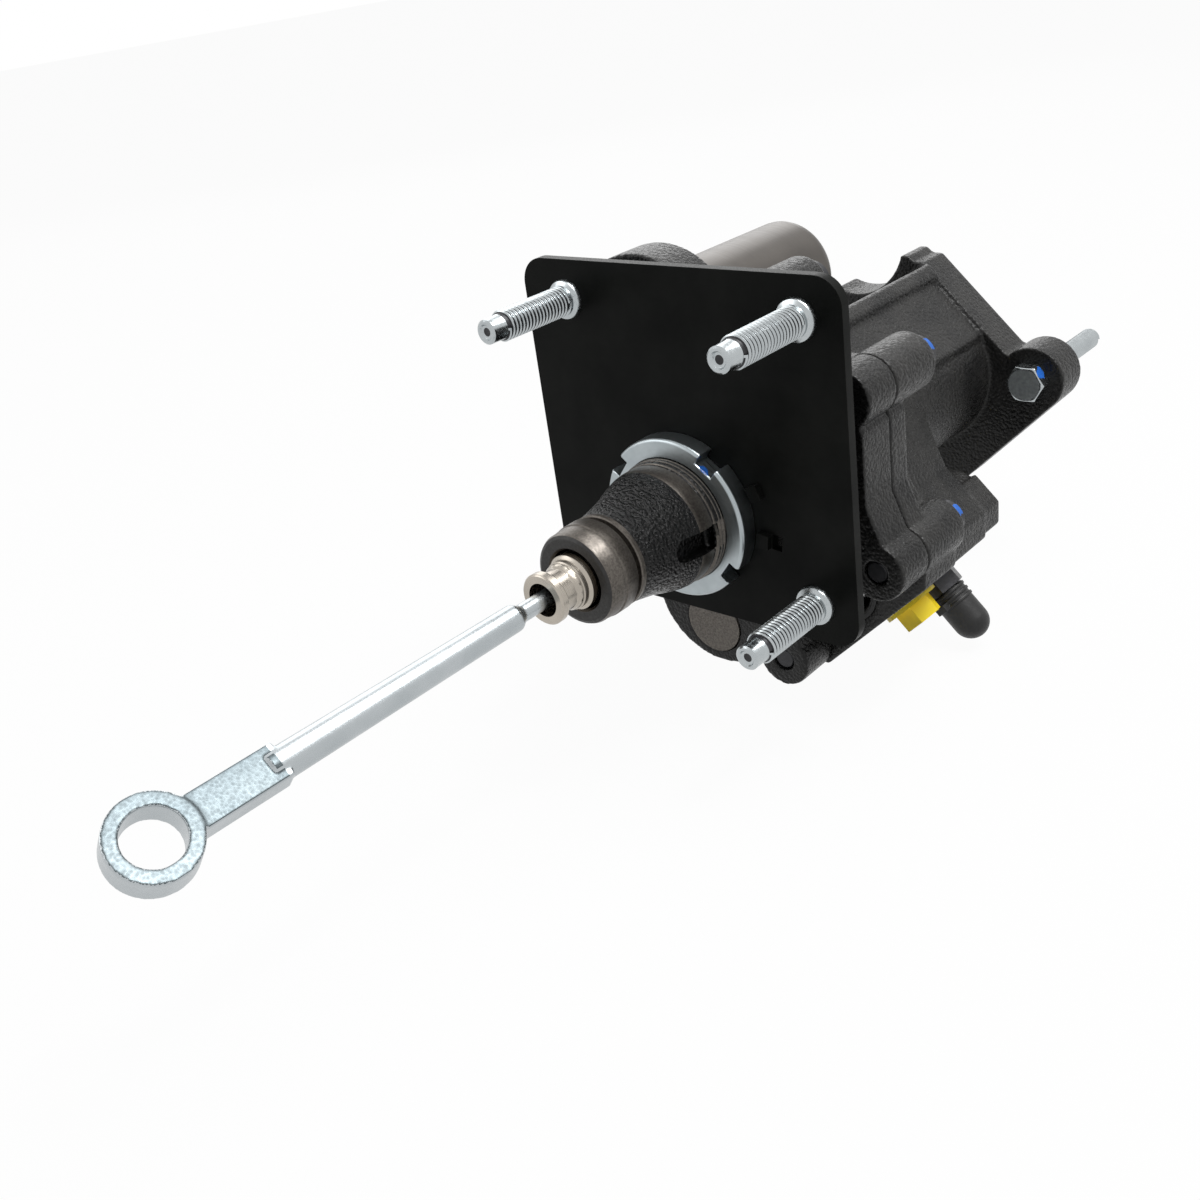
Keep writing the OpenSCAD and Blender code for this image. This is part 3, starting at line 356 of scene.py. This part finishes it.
def turned_piece(name, points, axis, steps=48):
    """A part turned round an axis along Y, from points (radius, y) in mm."""
    middle_x, middle_z = axis[0] * MM, axis[1] * MM
    bpy.ops.object.select_all(action="DESELECT")
    bpy.ops.mesh.primitive_plane_add(size=0.001, location=(0, 0, 0))
    piece = bpy.context.object
    piece.name = name
    bpy.ops.object.mode_set(mode="EDIT")
    bpy.ops.mesh.merge(type="CENTER")
    bpy.ops.transform.translate(value=(middle_x + points[0][0] * MM, points[0][1] * MM, middle_z))
    for (radius, along), (next_radius, next_along) in zip(points, points[1:]):
        step = ((next_radius - radius) * MM, (next_along - along) * MM, 0)
        bpy.ops.mesh.extrude_region_move(TRANSFORM_OT_translate={"value": step})
    bpy.ops.mesh.select_all(action="SELECT")
    bpy.ops.mesh.spin(steps=steps, angle=2 * math.pi, center=(middle_x, 0, middle_z), axis=(0, 1, 0))
    bpy.ops.mesh.select_all(action="SELECT")
    bpy.ops.mesh.remove_doubles(threshold=2e-6)
    bpy.ops.mesh.normals_make_consistent(inside=False)
    bpy.ops.object.mode_set(mode="OBJECT")
    bpy.ops.object.shade_smooth_by_angle(angle=math.radians(32))
    bpy.ops.object.select_all(action="DESELECT")
    return piece


def rolled_thread(name, axis, root, crest, pitch, start, turns, steps=36):
    """A helical ridge from start along Y, closed at both ends."""
    bpy.ops.object.select_all(action="DESELECT")
    bpy.ops.mesh.primitive_plane_add(size=0.001, location=(0, 0, 0))
    piece = bpy.context.object
    piece.name = name
    bpy.ops.object.mode_set(mode="EDIT")
    bpy.ops.mesh.merge(type="CENTER")
    bpy.ops.transform.translate(value=(root * MM, start * MM, 0))
    half = (crest - root) / 2
    flank = ((half, 0.22), (half, 0.19), (0, 0.18), (-half, 0.19), (-half, 0.22))
    for out, share in flank:
        step = (out * MM, share * pitch * MM, 0)
        bpy.ops.mesh.extrude_region_move(TRANSFORM_OT_translate={"value": step})
    bpy.ops.object.mode_set(mode="OBJECT")
    turning = piece.modifiers.new("turning", "SCREW")
    turning.axis = "Y"
    turning.angle = 2 * math.pi
    turning.screw_offset = pitch * MM
    turning.iterations = turns
    turning.steps = steps
    turning.render_steps = steps
    bpy.ops.object.modifier_apply(modifier="turning")
    bpy.ops.object.mode_set(mode="EDIT")
    bpy.ops.mesh.select_all(action="SELECT")
    bpy.ops.mesh.remove_doubles(threshold=1e-6)
    bpy.ops.mesh.fill_holes(sides=0)
    bpy.ops.mesh.select_all(action="SELECT")
    bpy.ops.mesh.normals_make_consistent(inside=False)
    bpy.ops.transform.translate(value=(axis[0] * MM, 0, axis[1] * MM))
    bpy.ops.object.mode_set(mode="OBJECT")
    bpy.ops.object.shade_smooth_by_angle(angle=math.radians(32))
    bpy.ops.object.select_all(action="DESELECT")
    return piece


def as_one(name, pieces):
    """Several meshes joined into one piece."""
    bpy.ops.object.select_all(action="DESELECT")
    for part in pieces:
        part.select_set(True)
    bpy.context.view_layer.objects.active = pieces[0]
    bpy.ops.object.join()
    pieces[0].name = name
    bpy.ops.object.select_all(action="DESELECT")
    return pieces[0]


def moved_copy(piece, shift):
    """The same piece again, with a mesh of its own, moved by shift in mm."""
    twin = piece.copy()
    twin.data = piece.data.copy()
    bpy.context.collection.objects.link(twin)
    twin.data.transform(Matrix.Translation(Vector(shift) * MM))
    return twin


bright_zinc = finish(
    "bright_zinc", (0.46, 0.49, 0.50), (0.34, 0.37, 0.385),
    metal=1.0, rough=0.26, cloud_size=140.0, contrast=0.4,
    effect=grain, effect_values={"Size": 900.0},
    bump=0.015, reach=0.0001, rough_swing=0.06)
# Black phosphate, as on the return fitting; on the studs this material is the painted shade in the thread
# roots and the end recess.
black_finish_and_shade = finish(
    "black_finish_and_shade", (0.016, 0.016, 0.018), (0.04, 0.04, 0.045),
    metal=0.4, rough=0.4, cloud_size=300.0, contrast=0.6,
    effect=grain, effect_values={"Size": 1500.0},
    bump=0.1, reach=0.0001, rough_swing=0.1)
stud_shank = turned_piece("stud_shank", [
    (0, -36.6), (1.4, -36.6), (2.2, -36.8), (2.6, -37.3), (3.4, -37.3), (3.95, -36.8),
    (3.95, -31.9), (4.1, -31.4), (4.1, -3.6), (5.0, -3.2), (5.0, -2.2), (6.3, -1.6), (6.6, -1.1),
    (6.6, 0.05), (4.9, 0.05), (4.9, 3.55), (8.5, 3.55), (8.5, 5.9), (7.9, 6.5), (0, 6.5)], stud_places[0])
stud_thread = rolled_thread("stud_thread", stud_places[0], stud_root, stud_crest, stud_pitch,
                            thread_start, turns=18)
first_stud = as_one("first_stud", [stud_shank, stud_thread])
dress(first_stud, bright_zinc, black_finish_and_shade)
first_x, first_z = stud_places[0]
# Painted shade: faces deep in the thread roots and at the bottom of the end recess take the black
# material.
for face in first_stud.data.polygons:
    along = face.center.y / MM
    out = math.hypot(face.center.x / MM - first_x, face.center.z / MM - first_z)
    in_root_shade = out < root_shade_radius and thread_start + 0.2 < along < thread_end
    in_recess_shade = out < recess_shade_radius and along < dog_point_to
    face.material_index = 1 if in_root_shade or in_recess_shade else 0
studs = as_one("studs", [first_stud] + [
    moved_copy(first_stud, (x - first_x, 0, z - first_z)) for x, z in stud_places[1:]])
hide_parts("firewall_studs")
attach(studs, "booster")

# The slotted ring nut that clamps the plate against the shoulder of the
# cover. Turned steel, zinc plated, with a dab of blue paint in one slot.
bore_axis = (axis_x * MM, 0, axis_z * MM)
nut_edge = 0.45
slot_angle = math.radians(53.4)
slot_reach = 26.5
slot_middle_y = -6
slot_dab = 4.4
ragged_edge = 2.2
blue_paint = (0.02, 0.12, 0.48)

# Paint dab: a ragged round spot of paint at a place.
paint_dab, dab_in, dab_out = effect_group(
    "paint_dab",
    [("Base", "NodeSocketColor", (0.5, 0.5, 0.5, 1)),
     ("Paint", "NodeSocketColor", (0.02, 0.12, 0.5, 1)),
     ("Centre", "NodeSocketVector", None),
     ("Radius", "NodeSocketFloat", 0.003)],
    [("Color", "NodeSocketColor"), ("Mask", "NodeSocketFloat")],
)
dab_place = node(paint_dab, "ShaderNodeTexCoord")
dab_far = node(paint_dab, "ShaderNodeVectorMath", {"operation": "DISTANCE"},
               {0: dab_place.outputs["Object"], 1: dab_in.outputs["Centre"]})
dab_rough = node(paint_dab, "ShaderNodeTexNoise", {"Scale": 500.0, "Detail": 3.0},
                 {"Vector": dab_place.outputs["Object"]})
dab_edge = node(paint_dab, "ShaderNodeMath", {"operation": "MULTIPLY_ADD", 1: ragged_edge * MM},
                {0: dab_rough.outputs["Fac"], 2: dab_far.outputs["Value"]})
dab_inside = node(paint_dab, "ShaderNodeMath", {"operation": "LESS_THAN"},
                  {0: dab_edge.outputs[0], 1: dab_in.outputs["Radius"]})
dab_mix = node(paint_dab, "ShaderNodeMix", {"data_type": "RGBA"}, {"Factor": dab_inside.outputs[0]})
paint_dab.links.new(dab_in.outputs["Base"], dab_mix.inputs[color_a])
paint_dab.links.new(dab_in.outputs["Paint"], dab_mix.inputs[color_b])
paint_dab.links.new(dab_mix.outputs[color_mixed], dab_out.inputs["Color"])
paint_dab.links.new(dab_inside.outputs[0], dab_out.inputs["Mask"])


def painted(name, material, centres, radius):
    """A copy of a finish with blue dabs at the centres, in mm. A single dab isn't metallic."""
    made = material.copy()
    made.name = name
    tree = made.node_tree
    shader = tree.nodes["Principled BSDF"]
    for centre in centres:
        unpainted = shader.inputs["Base Color"].links[0].from_socket
        dab = node(tree, "ShaderNodeGroup", {"node_tree": paint_dab})
        dab.inputs["Centre"].default_value = Vector(centre) * MM
        dab.inputs["Radius"].default_value = radius * MM
        dab.inputs["Paint"].default_value = (*blue_paint, 1)
        tree.links.new(unpainted, dab.inputs["Base"])
        tree.links.new(dab.outputs["Color"], shader.inputs["Base Color"])
    if len(centres) == 1:
        metal = shader.inputs["Metallic"].default_value
        bare_metal = node(tree, "ShaderNodeMath", {"operation": "MULTIPLY_ADD", 1: -metal, 2: metal},
                          {0: dab.outputs["Mask"]})
        tree.links.new(bare_metal.outputs[0], shader.inputs["Metallic"])
    return made


nut = copied_shape("nut", "spanner_nut")
broken_edges(nut, nut_edge)
nut_slot = (axis_x + slot_reach * math.cos(slot_angle), slot_middle_y,
            axis_z + slot_reach * math.sin(slot_angle))
face_zinc = finish(
    "face_zinc", (0.40, 0.44, 0.455), (0.30, 0.335, 0.35),
    metal=1.0, rough=0.32, cloud_size=200.0, contrast=0.5,
    effect=lathe_marks, effect_values={"Axis": bore_axis, "Lines": 2500.0},
    bump=0.1, reach=0.0001, rough_swing=0.06)
nut_zinc = painted("nut_zinc", face_zinc, [nut_slot], slot_dab)
dress(nut, nut_zinc)
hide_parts("spanner_nut")
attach(nut, "booster")

# The rear casting: black-coated grey iron with a pebbly sand-cast skin. The
# snout's nose, its thread and the nut's seat are machined and left bare.
snout_base = -12.0
cover_voxel = 0.6
triangle_limit = 170000
bore_radius = 9.8
snout_root, snout_crest, snout_pitch = 20.5, 21.15, 1.5
snout_thread_start = -11.0
ring_wall = 19.5
ring_cutter_length = 30.0
ring_cutter_middle = -8.0
keyway_end = -23.5
keyway_half_width = 4.0
keyway_cutter_depth = 14.0
keyway_length = 25.0
keyway_reach = 22.2
keyway_walls_from = -30.0
nose_face_to = -54.6
bare_nose_to = -39.0
bare_seat_from = -18.0


def cast_skin(piece, voxel, passes):
    """A casting's skin: all edges run soft together, as a sand mould leaves them."""
    bpy.context.view_layer.objects.active = piece
    piece.select_set(True)
    skin = piece.modifiers.new("skin", "REMESH")
    skin.mode = "VOXEL"
    skin.voxel_size = voxel * MM
    skin.use_smooth_shade = True
    bpy.ops.object.modifier_apply(modifier="skin")
    soft = piece.modifiers.new("soft", "SMOOTH")
    soft.factor = 0.5
    soft.iterations = passes
    bpy.ops.object.modifier_apply(modifier="soft")
    triangles = len(piece.data.polygons) * 2
    fewer = piece.modifiers.new("fewer", "DECIMATE")
    fewer.ratio = min(1.0, triangle_limit / triangles)
    bpy.ops.object.modifier_apply(modifier="fewer")
    bpy.ops.object.shade_smooth()
    bpy.ops.object.select_all(action="DESELECT")


def cut_away(piece, cutter):
    """Takes the cutter's form out of a piece, and the cutter with it."""
    cut = piece.modifiers.new("cut", "BOOLEAN")
    cut.object = cutter
    cut.operation = "DIFFERENCE"
    cut.solver = "EXACT"
    bpy.ops.object.select_all(action="DESELECT")
    bpy.context.view_layer.objects.active = piece
    piece.select_set(True)
    bpy.ops.object.modifier_apply(modifier="cut")
    bpy.data.objects.remove(cutter)
    bpy.ops.object.shade_smooth_by_angle(angle=math.radians(30))
    bpy.ops.object.select_all(action="DESELECT")


cover_iron = finish(
    "cover_iron", (0.008, 0.008, 0.008), (0.020, 0.0195, 0.0185),
    metal=0.0, rough=0.33, cloud_size=90.0, contrast=0.7,
    effect=grain, effect_values={"Size": 900.0},
    bump=0.9, reach=0.00030, rough_swing=0.1, specular=0.2)
snout_iron = finish(
    "snout_iron", (0.001, 0.001, 0.001), (0.003, 0.0029, 0.0028),
    metal=0.0, rough=0.16, cloud_size=120.0, contrast=0.7,
    effect=grain, effect_values={"Size": 1000.0},
    bump=1.0, reach=0.0006, rough_swing=0.08, specular=0.25)
nose_face = finish(
    "nose_face", (0.035, 0.034, 0.033), (0.02, 0.0195, 0.019),
    metal=0.5, rough=0.5, cloud_size=900.0, contrast=0.7,
    effect=grain, effect_values={"Size": 1500.0},
    bump=0.2, reach=0.0001, rough_swing=0.1)
bare_nose = finish(
    "bare_nose", (0.13, 0.117, 0.103), (0.06, 0.053, 0.047),
    metal=0.8, rough=0.36, cloud_size=1400.0, contrast=0.8,
    effect=lathe_marks, effect_values={"Axis": bore_axis, "Lines": 3600.0},
    bump=0.35, reach=0.0001, rough_swing=0.1)
cover = copied_shape("cover", "booster_cover")
bpy.context.view_layer.objects.active = cover
cover.select_set(True)
bpy.ops.object.mode_set(mode="EDIT")
bpy.ops.mesh.select_all(action="SELECT")
bpy.ops.mesh.bisect(plane_co=(0, snout_base * MM, 0), plane_no=(0, 1, 0), use_fill=True, clear_inner=True)
bpy.ops.mesh.select_all(action="SELECT")
bpy.ops.mesh.quads_convert_to_tris()
bpy.ops.object.mode_set(mode="OBJECT")
cast_skin(cover, cover_voxel, passes=8)
dress(cover, cover_iron)
snout_wall = turned_piece("snout_wall", [
    (bore_radius, -53.9), (10.5, -54.8), (13.5, -55.0), (14.5, -54.5), (14.95, -53.6), (15.0, -50.6),
    (15.15, -50.3), (15.15, -48.6), (15.5, -48.1), (15.5, -43.6), (15.2, -43.0), (13.6, -42.8),
    (13.4, -41.4), (14.9, -41.1), (15.3, -40.7), (15.3, -39.4), (14.9, -39.0), (15.4, -38.2),
    (16.2, -34.0), (17.1, -29.4), (18.2, -25.6), (19.5, -21.6), (20.4, -18.0), (20.6, -16.4),
    (20.6, -12.2), (20.2, -11.8), (20.2, -11.2), (20.7, -10.8), (20.7, -5.0), (bore_radius, -5.0),
    (bore_radius, -53.9)], (axis_x, axis_z), steps=96)
snout_thread = rolled_thread("snout_thread", (axis_x, axis_z), snout_root, snout_crest, snout_pitch,
                             snout_thread_start, turns=3, steps=72)

# The thread's ridge is closed right across at its ends, so it is bored out.
bpy.ops.mesh.primitive_cylinder_add(
    vertices=72, radius=ring_wall * MM, depth=ring_cutter_length * MM, rotation=(math.pi / 2, 0, 0),
    location=(axis_x * MM, ring_cutter_middle * MM, axis_z * MM))
ring_cutter = bpy.context.object
bpy.ops.object.transform_apply(location=True, rotation=True)
cut_away(snout_thread, ring_cutter)

# The keyway along the snout's side has a round end: a cylinder is cut out
# whose front half is pulled forward, past the nut's seat.
bpy.ops.mesh.primitive_cylinder_add(
    vertices=32, radius=keyway_half_width * MM, depth=keyway_cutter_depth * MM,
    rotation=(0, math.pi / 2, 0),
    location=((axis_x + keyway_reach) * MM, keyway_end * MM, axis_z * MM))
key_cutter = bpy.context.object
bpy.ops.object.transform_apply(location=True, rotation=True)
bpy.ops.object.mode_set(mode="EDIT")
bpy.ops.mesh.select_all(action="DESELECT")
bpy.ops.object.mode_set(mode="OBJECT")
for corner in key_cutter.data.vertices:
    corner.select = corner.co.y > keyway_end * MM + 1e-5
bpy.ops.object.mode_set(mode="EDIT")
bpy.ops.transform.translate(value=(0, keyway_length * MM, 0))
bpy.ops.object.mode_set(mode="OBJECT")
cut_away(snout_wall, key_cutter)
snout = as_one("snout", [snout_wall, snout_thread])
dress(snout, snout_iron, bare_nose, nose_face)
for face in snout.data.polygons:
    along = face.center.y / MM
    outward = Vector((face.center.x / MM - axis_x, 0, face.center.z / MM - axis_z))
    sideways = abs(face.normal.dot(outward.normalized())) < 0.4
    keyway_wall = along > keyway_walls_from and sideways
    on_bare_length = along < bare_nose_to or along > bare_seat_from
    turned = on_bare_length and outward.length > bore_radius + 0.1
    face.material_index = 1 if turned and not keyway_wall else 0
    if along < nose_face_to:
        face.material_index = 2
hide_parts("booster_cover")
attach(snout, "booster")
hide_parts("booster_cover")
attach(cover, "booster")

# The main casting: the same iron and coating, milled flat at the port face,
# at the joint and at the flange, and coated after milling.
housing_voxel = 0.62
housing_iron = finish(
    "housing_iron", (0.010, 0.010, 0.010), (0.028, 0.0272, 0.0258),
    metal=0.0, rough=0.34, cloud_size=70.0, contrast=0.75,
    effect=grain, effect_values={"Size": 850.0},
    bump=0.9, reach=0.0003, rough_swing=0.1, specular=0.2)
housing = copied_shape("housing", "booster_housing")
cast_skin(housing, housing_voxel, passes=9)
dress(housing, housing_iron)
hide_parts("booster_housing")
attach(housing, "booster")

# The seals: black rubber rings in the joint, the bores and the ports, which
# keep the plain shape that the part's source gives them.
black_rubber = finish(
    "black_rubber", (0.010, 0.010, 0.010), (0.02, 0.02, 0.02),
    metal=0.0, rough=0.5, cloud_size=200.0, contrast=0.6,
    effect=grain, effect_values={"Size": 2000.0},
    bump=0.15, reach=0.0001, rough_swing=0.1, specular=0.35)
for name in ("cover_seal", "accumulator_seal", "spool_plug_seal", "input_seal", "piston_seal",
             "piston_ring", "port_seals", "return_seal"):
    dress(cad_nodes[name], black_rubber)

# Five flanged bolts with hexagon sockets that hold the castings together,
# black oxide steel. Two carry a dab of blue paint from the tightening check.
dabbed_bolts = [(49.5, 37.8), (58.6, -18)]
bolt_dab = 3.4
bolt_edge = 0.25
black_bolt = finish(
    "black_bolt", (0.02, 0.02, 0.022), (0.045, 0.045, 0.05),
    metal=0.5, rough=0.38, cloud_size=300.0, contrast=0.6,
    effect=grain, effect_values={"Size": 1800.0},
    bump=0.1, reach=0.0001, rough_swing=0.08)
dab_aside, dab_along, dab_up = 4.6, 62.6, 4.4
bolt_blue = painted("bolt_blue", black_bolt, [
    (axis_x + x + dab_aside, dab_along, axis_z + z + dab_up) for x, z in dabbed_bolts], bolt_dab)
bolts = copied_shape("bolts", "cover_bolts")
broken_edges(bolts, bolt_edge)
dress(bolts, bolt_blue)
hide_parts("cover_bolts")
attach(bolts, "booster")

# Two bolts pressed from behind through the ears of the flange, with threads
# forward for the master cylinder's nuts. Zinc plated, duller on the heads.
ear_reach = 47.5
flange_places = [(axis_x - ear_reach, axis_z), (axis_x + ear_reach, axis_z)]
flange_root, flange_crest, flange_pitch = 3.3, 3.98, 1.25
flange_thread_start = 168.4
head_end = 150.3
head_edge = 0.3
shanks_and_threads = []
for x, z in flange_places:
    shank = turned_piece("flange_shank", [
        (0, 149.4), (3.95, 149.4), (3.95, 168.0), (3.35, 168.6), (3.35, 203.2), (2.6, 205.0),
        (0, 205.0)], (x, z))
    threads = rolled_thread("flange_thread", (x, z), flange_root, flange_crest, flange_pitch,
                            flange_thread_start, turns=27)
    shanks_and_threads += [shank, threads]
flange_head = copied_shape("flange_head", "master_cylinder_bolts")
bpy.context.view_layer.objects.active = flange_head
flange_head.select_set(True)
bpy.ops.object.mode_set(mode="EDIT")
bpy.ops.mesh.select_all(action="SELECT")
bpy.ops.mesh.bisect(plane_co=(0, head_end * MM, 0), plane_no=(0, 1, 0), use_fill=True, clear_outer=True)
bpy.ops.object.mode_set(mode="OBJECT")
broken_edges(flange_head, head_edge)
flange_bolts = as_one("flange_bolts", [flange_head] + shanks_and_threads)
head_dab_place = (flange_places[1][0] + 5.2, 147, flange_places[1][1] + 4.4)
flange_zinc = painted("flange_zinc", bright_zinc, [head_dab_place], bolt_dab)
head_zinc = finish(
    "head_zinc", (0.34, 0.365, 0.37), (0.20, 0.218, 0.222),
    metal=0.6, rough=0.45, cloud_size=700.0, contrast=0.8,
    effect=grain, effect_values={"Size": 1500.0},
    bump=0.15, reach=0.0001, rough_swing=0.08)
dress(flange_bolts, flange_zinc, head_zinc)
for face in flange_bolts.data.polygons:
    face.material_index = 1 if face.normal.y < -0.9 and face.center.y / MM < head_end - 0.3 else 0
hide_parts("master_cylinder_bolts")
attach(flange_bolts, "booster")

# A deep-drawn steel can that holds gas behind a free piston, with a rolled
# rim under a wire ring. Its finish is a smooth bronze-grey plate.
can_x, can_z = axis_x - 26, axis_z + 49.6
can_axis = (can_x * MM, 0, can_z * MM)
bronze_grey = finish(
    "bronze_grey", (0.105, 0.096, 0.087), (0.066, 0.06, 0.055),
    metal=0.9, rough=0.38, cloud_size=30.0, contrast=0.6,
    effect=lathe_marks, effect_values={"Axis": can_axis, "Lines": 2500.0},
    bump=0.05, reach=0.0001, rough_swing=0.05)
can = turned_piece("can", [
    (16.9, 24.05), (20.9, 24.05), (20.9, 26.95), (19.35, 27.0), (19.3, 27.6), (19.3, 101.6),
    (19.15, 103.2), (18.6, 104.7), (17.6, 105.7), (16.2, 106.3), (14.6, 106.5), (0, 106.5),
    (0, 104.1), (15.2, 104.1), (16.9, 102.4), (16.9, 24.05)], (can_x, can_z), steps=96)
dress(can, bronze_grey)
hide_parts("accumulator_can")
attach(can, "booster")

# The inner works: springs, their seat and clips of spring steel, ground
# pistons, sleeve, spool and lever, and a zinc plated output rod and pins.
# All of them keep the shape that the part's source gives them.
spring_steel = finish(
    "spring_steel", (0.20, 0.20, 0.21), (0.12, 0.12, 0.13),
    metal=1.0, rough=0.35, cloud_size=300.0, contrast=0.5,
    effect=grain, effect_values={"Size": 1200.0},
    bump=0.1, reach=0.0001, rough_swing=0.08)
for name in ("accumulator_ring", "spool_snap_ring", "spool_spring", "return_spring", "spring_seat",
             "seat_snap_ring", "output_rod_clip"):
    dress(cad_nodes[name], spring_steel)
ground_steel = finish(
    "ground_steel", (0.42, 0.42, 0.42), (0.34, 0.34, 0.35),
    metal=1.0, rough=0.25, cloud_size=200.0, contrast=0.5,
    effect=grain, effect_values={"Size": 1800.0},
    bump=0.08, reach=0.0001, rough_swing=0.08)
for name in ("accumulator_piston", "spool_sleeve", "spool_valve", "lever", "power_piston"):
    dress(cad_nodes[name], ground_steel)
for name in ("lever_pivot_pin", "lever_drive_pin", "output_rod"):
    dress(cad_nodes[name], bright_zinc)

# A soft iron plug pressed into the drilling low on the cover and left bare,
# so its face has rusted to a speckled brown grey. The spool's plug is too.
bare_iron = finish(
    "bare_iron", (0.17, 0.152, 0.13), (0.07, 0.062, 0.055),
    metal=0.4, rough=0.55, cloud_size=1500.0, contrast=0.9,
    effect=grain, effect_values={"Size": 1200.0},
    bump=0.4, reach=0.0002, rough_swing=0.1)
dress(cad_nodes["gallery_plug"], bare_iron)
dress(cad_nodes["spool_plug"], bare_iron)

# The plunger slides in the snout, and its cup is swaged over the ball of
# the pedal's rod, which turns in a plastic bush. Turned steel with a warm
# nickel plate.
plunger_edge = 0.25
warm_nickel = finish(
    "warm_nickel", (0.46, 0.42, 0.365), (0.34, 0.31, 0.27),
    metal=1.0, rough=0.27, cloud_size=120.0, contrast=0.6,
    effect=lathe_marks, effect_values={"Axis": bore_axis},
    bump=0.08, reach=0.0001, rough_swing=0.08)
plunger = copied_shape("plunger", "input_plunger")
broken_edges(plunger, plunger_edge, sharp=30)
dress(plunger, warm_nickel)
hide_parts("input_plunger")
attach(plunger, "plunger")
bush_plastic = finish(
    "bush_plastic", (0.72, 0.69, 0.6), (0.62, 0.58, 0.5),
    metal=0.0, rough=0.5, cloud_size=100.0, contrast=0.5,
    effect=grain, effect_values={"Size": 1500.0},
    bump=0.05, reach=0.0001, rough_swing=0.06)
dress(cad_nodes["rod_bush"], bush_plastic)

# A forged rod: a ball in the plunger's cup, a round shank, a flat bar and
# an eye for the pedal's pin. Zinc plated, bluish and more matte on the bar.
rod_voxel = 0.33
bar_start = -166.5
bar_facing = Vector((0.6157, 0, 0.788))
rod_zinc = finish(
    "rod_zinc", (0.47, 0.50, 0.515), (0.36, 0.395, 0.41),
    metal=1.0, rough=0.30, cloud_size=60.0, contrast=0.6,
    effect=grain, effect_values={"Size": 1300.0},
    bump=0.012, reach=0.0001, rough_swing=0.03)
bar_zinc = finish(
    "bar_zinc", (0.105, 0.123, 0.13), (0.062, 0.076, 0.083),
    metal=1.0, rough=0.40, cloud_size=70.0, contrast=0.8,
    effect=grain, effect_values={"Size": 1100.0},
    bump=0.3, reach=0.0001, rough_swing=0.05)
rod = copied_shape("rod", "input_rod")
cast_skin(rod, rod_voxel, passes=14)
dress(rod, rod_zinc, bar_zinc)
for face in rod.data.polygons:
    flat = abs(face.normal.dot(bar_facing)) > 0.9
    face.material_index = 1 if face.center.y / MM < bar_start and flat else 0
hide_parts("input_rod")
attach(rod, "pedal_rod")

# Two yellow moulded shipping plugs, pushed into the pressure ports over
# their brass seats and O-rings.
plug_edge = 0.35
brass = finish(
    "brass", (0.62, 0.45, 0.18), (0.5, 0.36, 0.14),
    metal=1.0, rough=0.3, cloud_size=200.0, contrast=0.5,
    effect=grain, effect_values={"Size": 1500.0},
    bump=0.08, reach=0.0001, rough_swing=0.08)
dress(cad_nodes["port_seats"], brass)
yellow_plastic = finish(
    "yellow_plastic", (0.96, 0.74, 0.01), (0.92, 0.66, 0.01),
    metal=0.0, rough=0.38, cloud_size=100.0, contrast=0.5,
    effect=grain, effect_values={"Size": 1500.0},
    bump=0.06, reach=0.0001, rough_swing=0.06)
plugs = copied_shape("plugs", "port_plugs")
broken_edges(plugs, plug_edge)
dress(plugs, yellow_plastic)
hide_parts("port_plugs")
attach(plugs, "booster")

# A hexagon fitting with a barbed nipple, black phosphated, under a soft
# black cap with gripping ribs.
cap_edge = 0.2
dress(cad_nodes["return_fitting"], black_finish_and_shade)
cap = copied_shape("cap", "return_cap")
broken_edges(cap, cap_edge)
dress(cap, black_rubber)
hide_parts("return_cap")
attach(cap, "booster")
